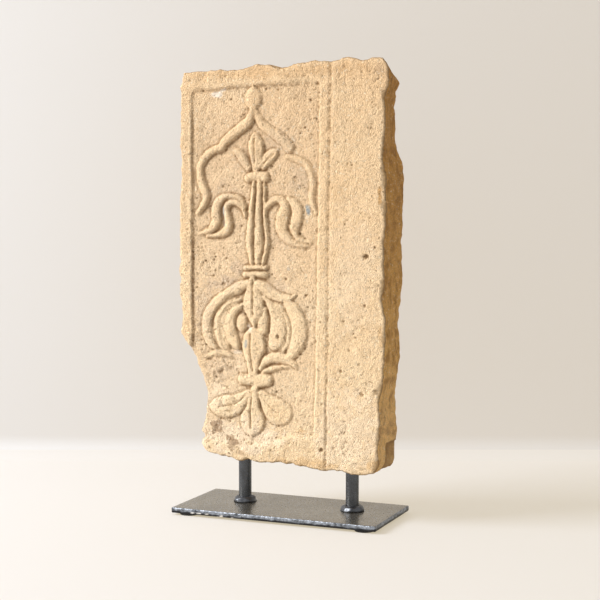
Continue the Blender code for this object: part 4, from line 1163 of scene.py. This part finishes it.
for side, shift in (("left", 1.3), ("right", 6.1)):
    low, high = (np.array(c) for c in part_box("weld_" + side))
    centre, outer = (low + high) / 2, (high[0] - low[0]) / 2
    inner_radius = ROD_RADIUS + CLEARANCE
    thick = outer - inner_radius
    bead_profile = [(inner_radius, low[2]), (outer * 0.99, low[2])]
    bead_profile += [(inner_radius + thick * math.cos(a), low[2] + WELD_HEIGHT * math.sin(a))
                     for a in math.pi / 2 * np.linspace(0, 1, 9)]
    bead = turned_piece("weld_bead_" + side, centre, bead_profile, 56,
                        lumpy_bead(inner_radius, outer, low[2], shift))
    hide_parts("weld_" + side)
    bead.data.materials.append(steels["weld_steel"])

# %% [markdown]
# Four small rubber pads keep the plate off the table. Each is a low disc with a bulging rim, as
# pressed rubber has under a weight, turned like the rods.

# %% Pads
PAD_BULGE = 0.5 * MM


def pad_rubber():
    """Matt black rubber with a faint mottle."""
    material, tree, shader = new_material("pad_rubber")
    broad, fine, *_ = speckle(tree, 120.0, 900.0, 400.0, 0.36)
    color = mixed(tree, broad, rgba(0.018, 0.018, 0.02), rgba(0.035, 0.034, 0.033))
    set_inputs(tree, shader, {"Base Color": color, "Roughness": 0.75})
    add_bump(tree, shader, fine, 0.4, 0.0001)
    return material


black_pad = pad_rubber()
for place in ("front_left", "front_right", "back_left", "back_right"):
    low, high = (np.array(c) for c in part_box("foot_pad_" + place))
    centre, radius = (low + high) / 2, (high[0] - low[0]) / 2
    bulge = [(radius - PAD_BULGE * (1 - math.sin(a)), low[2] + (high[2] - low[2]) * a / math.pi)
             for a in np.linspace(0, math.pi, 9)]
    pad = turned_piece("round_pad_" + place, centre, bulge, 40)
    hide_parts("foot_pad_" + place)
    pad.data.materials.append(black_pad)

# %% [markdown]
# The room is only hinted at: a pale sheet runs under the stand and turns up into a wall close behind
# it, as in the photograph. The sheet glows a little, so that the shadows on it stay pale. One large
# soft light from the upper left stands for a window, and the world adds light from everywhere.

# %% Floor and wall, in metres
SWEEP_BEHIND = 0.26
SWEEP_RADIUS = 0.025
SWEEP_FRONT = -4
SWEEP_HEIGHT = 4
SWEEP_HALF_WIDTH = 5.0
FIRST_WALL_FACE = 9


def sweep(name, colors):
    """A sheet that runs back from the camera, turns up in a quarter circle and rises: two materials."""
    turns = np.linspace(0, math.pi / 2, 13)
    back = np.concatenate([[SWEEP_FRONT, 0], SWEEP_BEHIND + SWEEP_RADIUS * np.sin(turns),
                           [SWEEP_BEHIND + SWEEP_RADIUS]])
    rise = np.concatenate([[0, 0], SWEEP_RADIUS * (1 - np.cos(turns)), [SWEEP_HEIGHT]])
    away, side = np.meshgrid(back, [-SWEEP_HALF_WIDTH, SWEEP_HALF_WIDTH], indexing="ij")
    level = np.repeat(rise[:, None], 2, axis=1)
    x = side * math.cos(CAMERA_TURN) - away * math.sin(CAMERA_TURN)
    y = side * math.sin(CAMERA_TURN) + away * math.cos(CAMERA_TURN)
    faces = grid_quads(np.arange(x.size).reshape(x.shape))
    mesh = bpy.data.meshes.new(name)
    mesh.from_pydata(np.stack([x, y, level], axis=-1).reshape(-1, 3).tolist(), [], faces.tolist())
    sheet = bpy.data.objects.new(name, mesh)
    bpy.context.scene.collection.objects.link(sheet)
    for part, (color, glow) in colors.items():
        material, tree, shader = new_material(name + "_" + part)
        set_inputs(tree, shader, {"Base Color": color, "Roughness": 0.8, "Emission Color": glow,
                                  "Emission Strength": 1.0})
        mesh.materials.append(material)
    on_wall = np.arange(len(faces)) >= FIRST_WALL_FACE
    mesh.polygons.foreach_set("material_index", on_wall.astype(np.int32))
    mesh.shade_smooth()
    print(name, "of", len(faces), "faces,", int(on_wall.sum()), "of them wall")


sweep("sweep", {"floor": (rgba(0.257, 0.276, 0.333), rgba(0.51, 0.44, 0.315)),
                "wall": (rgba(0.40, 0.455, 0.54), rgba(0.30, 0.205, 0.08))})

# %% Lights
def area_light(name, place, aim, size, power, color):
    """A square lamp at a place, in metres, that points at another place."""
    data = bpy.data.lights.new(name, "AREA")
    data.size = size
    data.energy = power
    data.color = color
    lamp = bpy.data.objects.new(name, data)
    lamp.location = place
    direction = np.array(aim, float) - np.array(place, float)
    yaw = math.atan2(direction[0], -direction[1])
    tilt = math.atan2(math.hypot(direction[0], direction[1]), -direction[2])
    lamp.rotation_euler = (tilt, 0, math.pi + yaw)
    bpy.context.scene.collection.objects.link(lamp)


area_light("window", place=(-1.65, -1.05, 1.25), aim=(0, 0, 0.22), size=1.0, power=77,
           color=(1.0, 0.985, 0.965))
world = bpy.data.worlds.new("soft room")
world.use_nodes = True
world.node_tree.nodes["Background"].inputs["Color"].default_value = rgba(1.0, 0.975, 0.94)
world.node_tree.nodes["Background"].inputs["Strength"].default_value = 0.66
bpy.context.scene.world = world
bpy.context.scene.view_settings.view_transform = "Standard"
print("Light from the upper left, and", world.name)
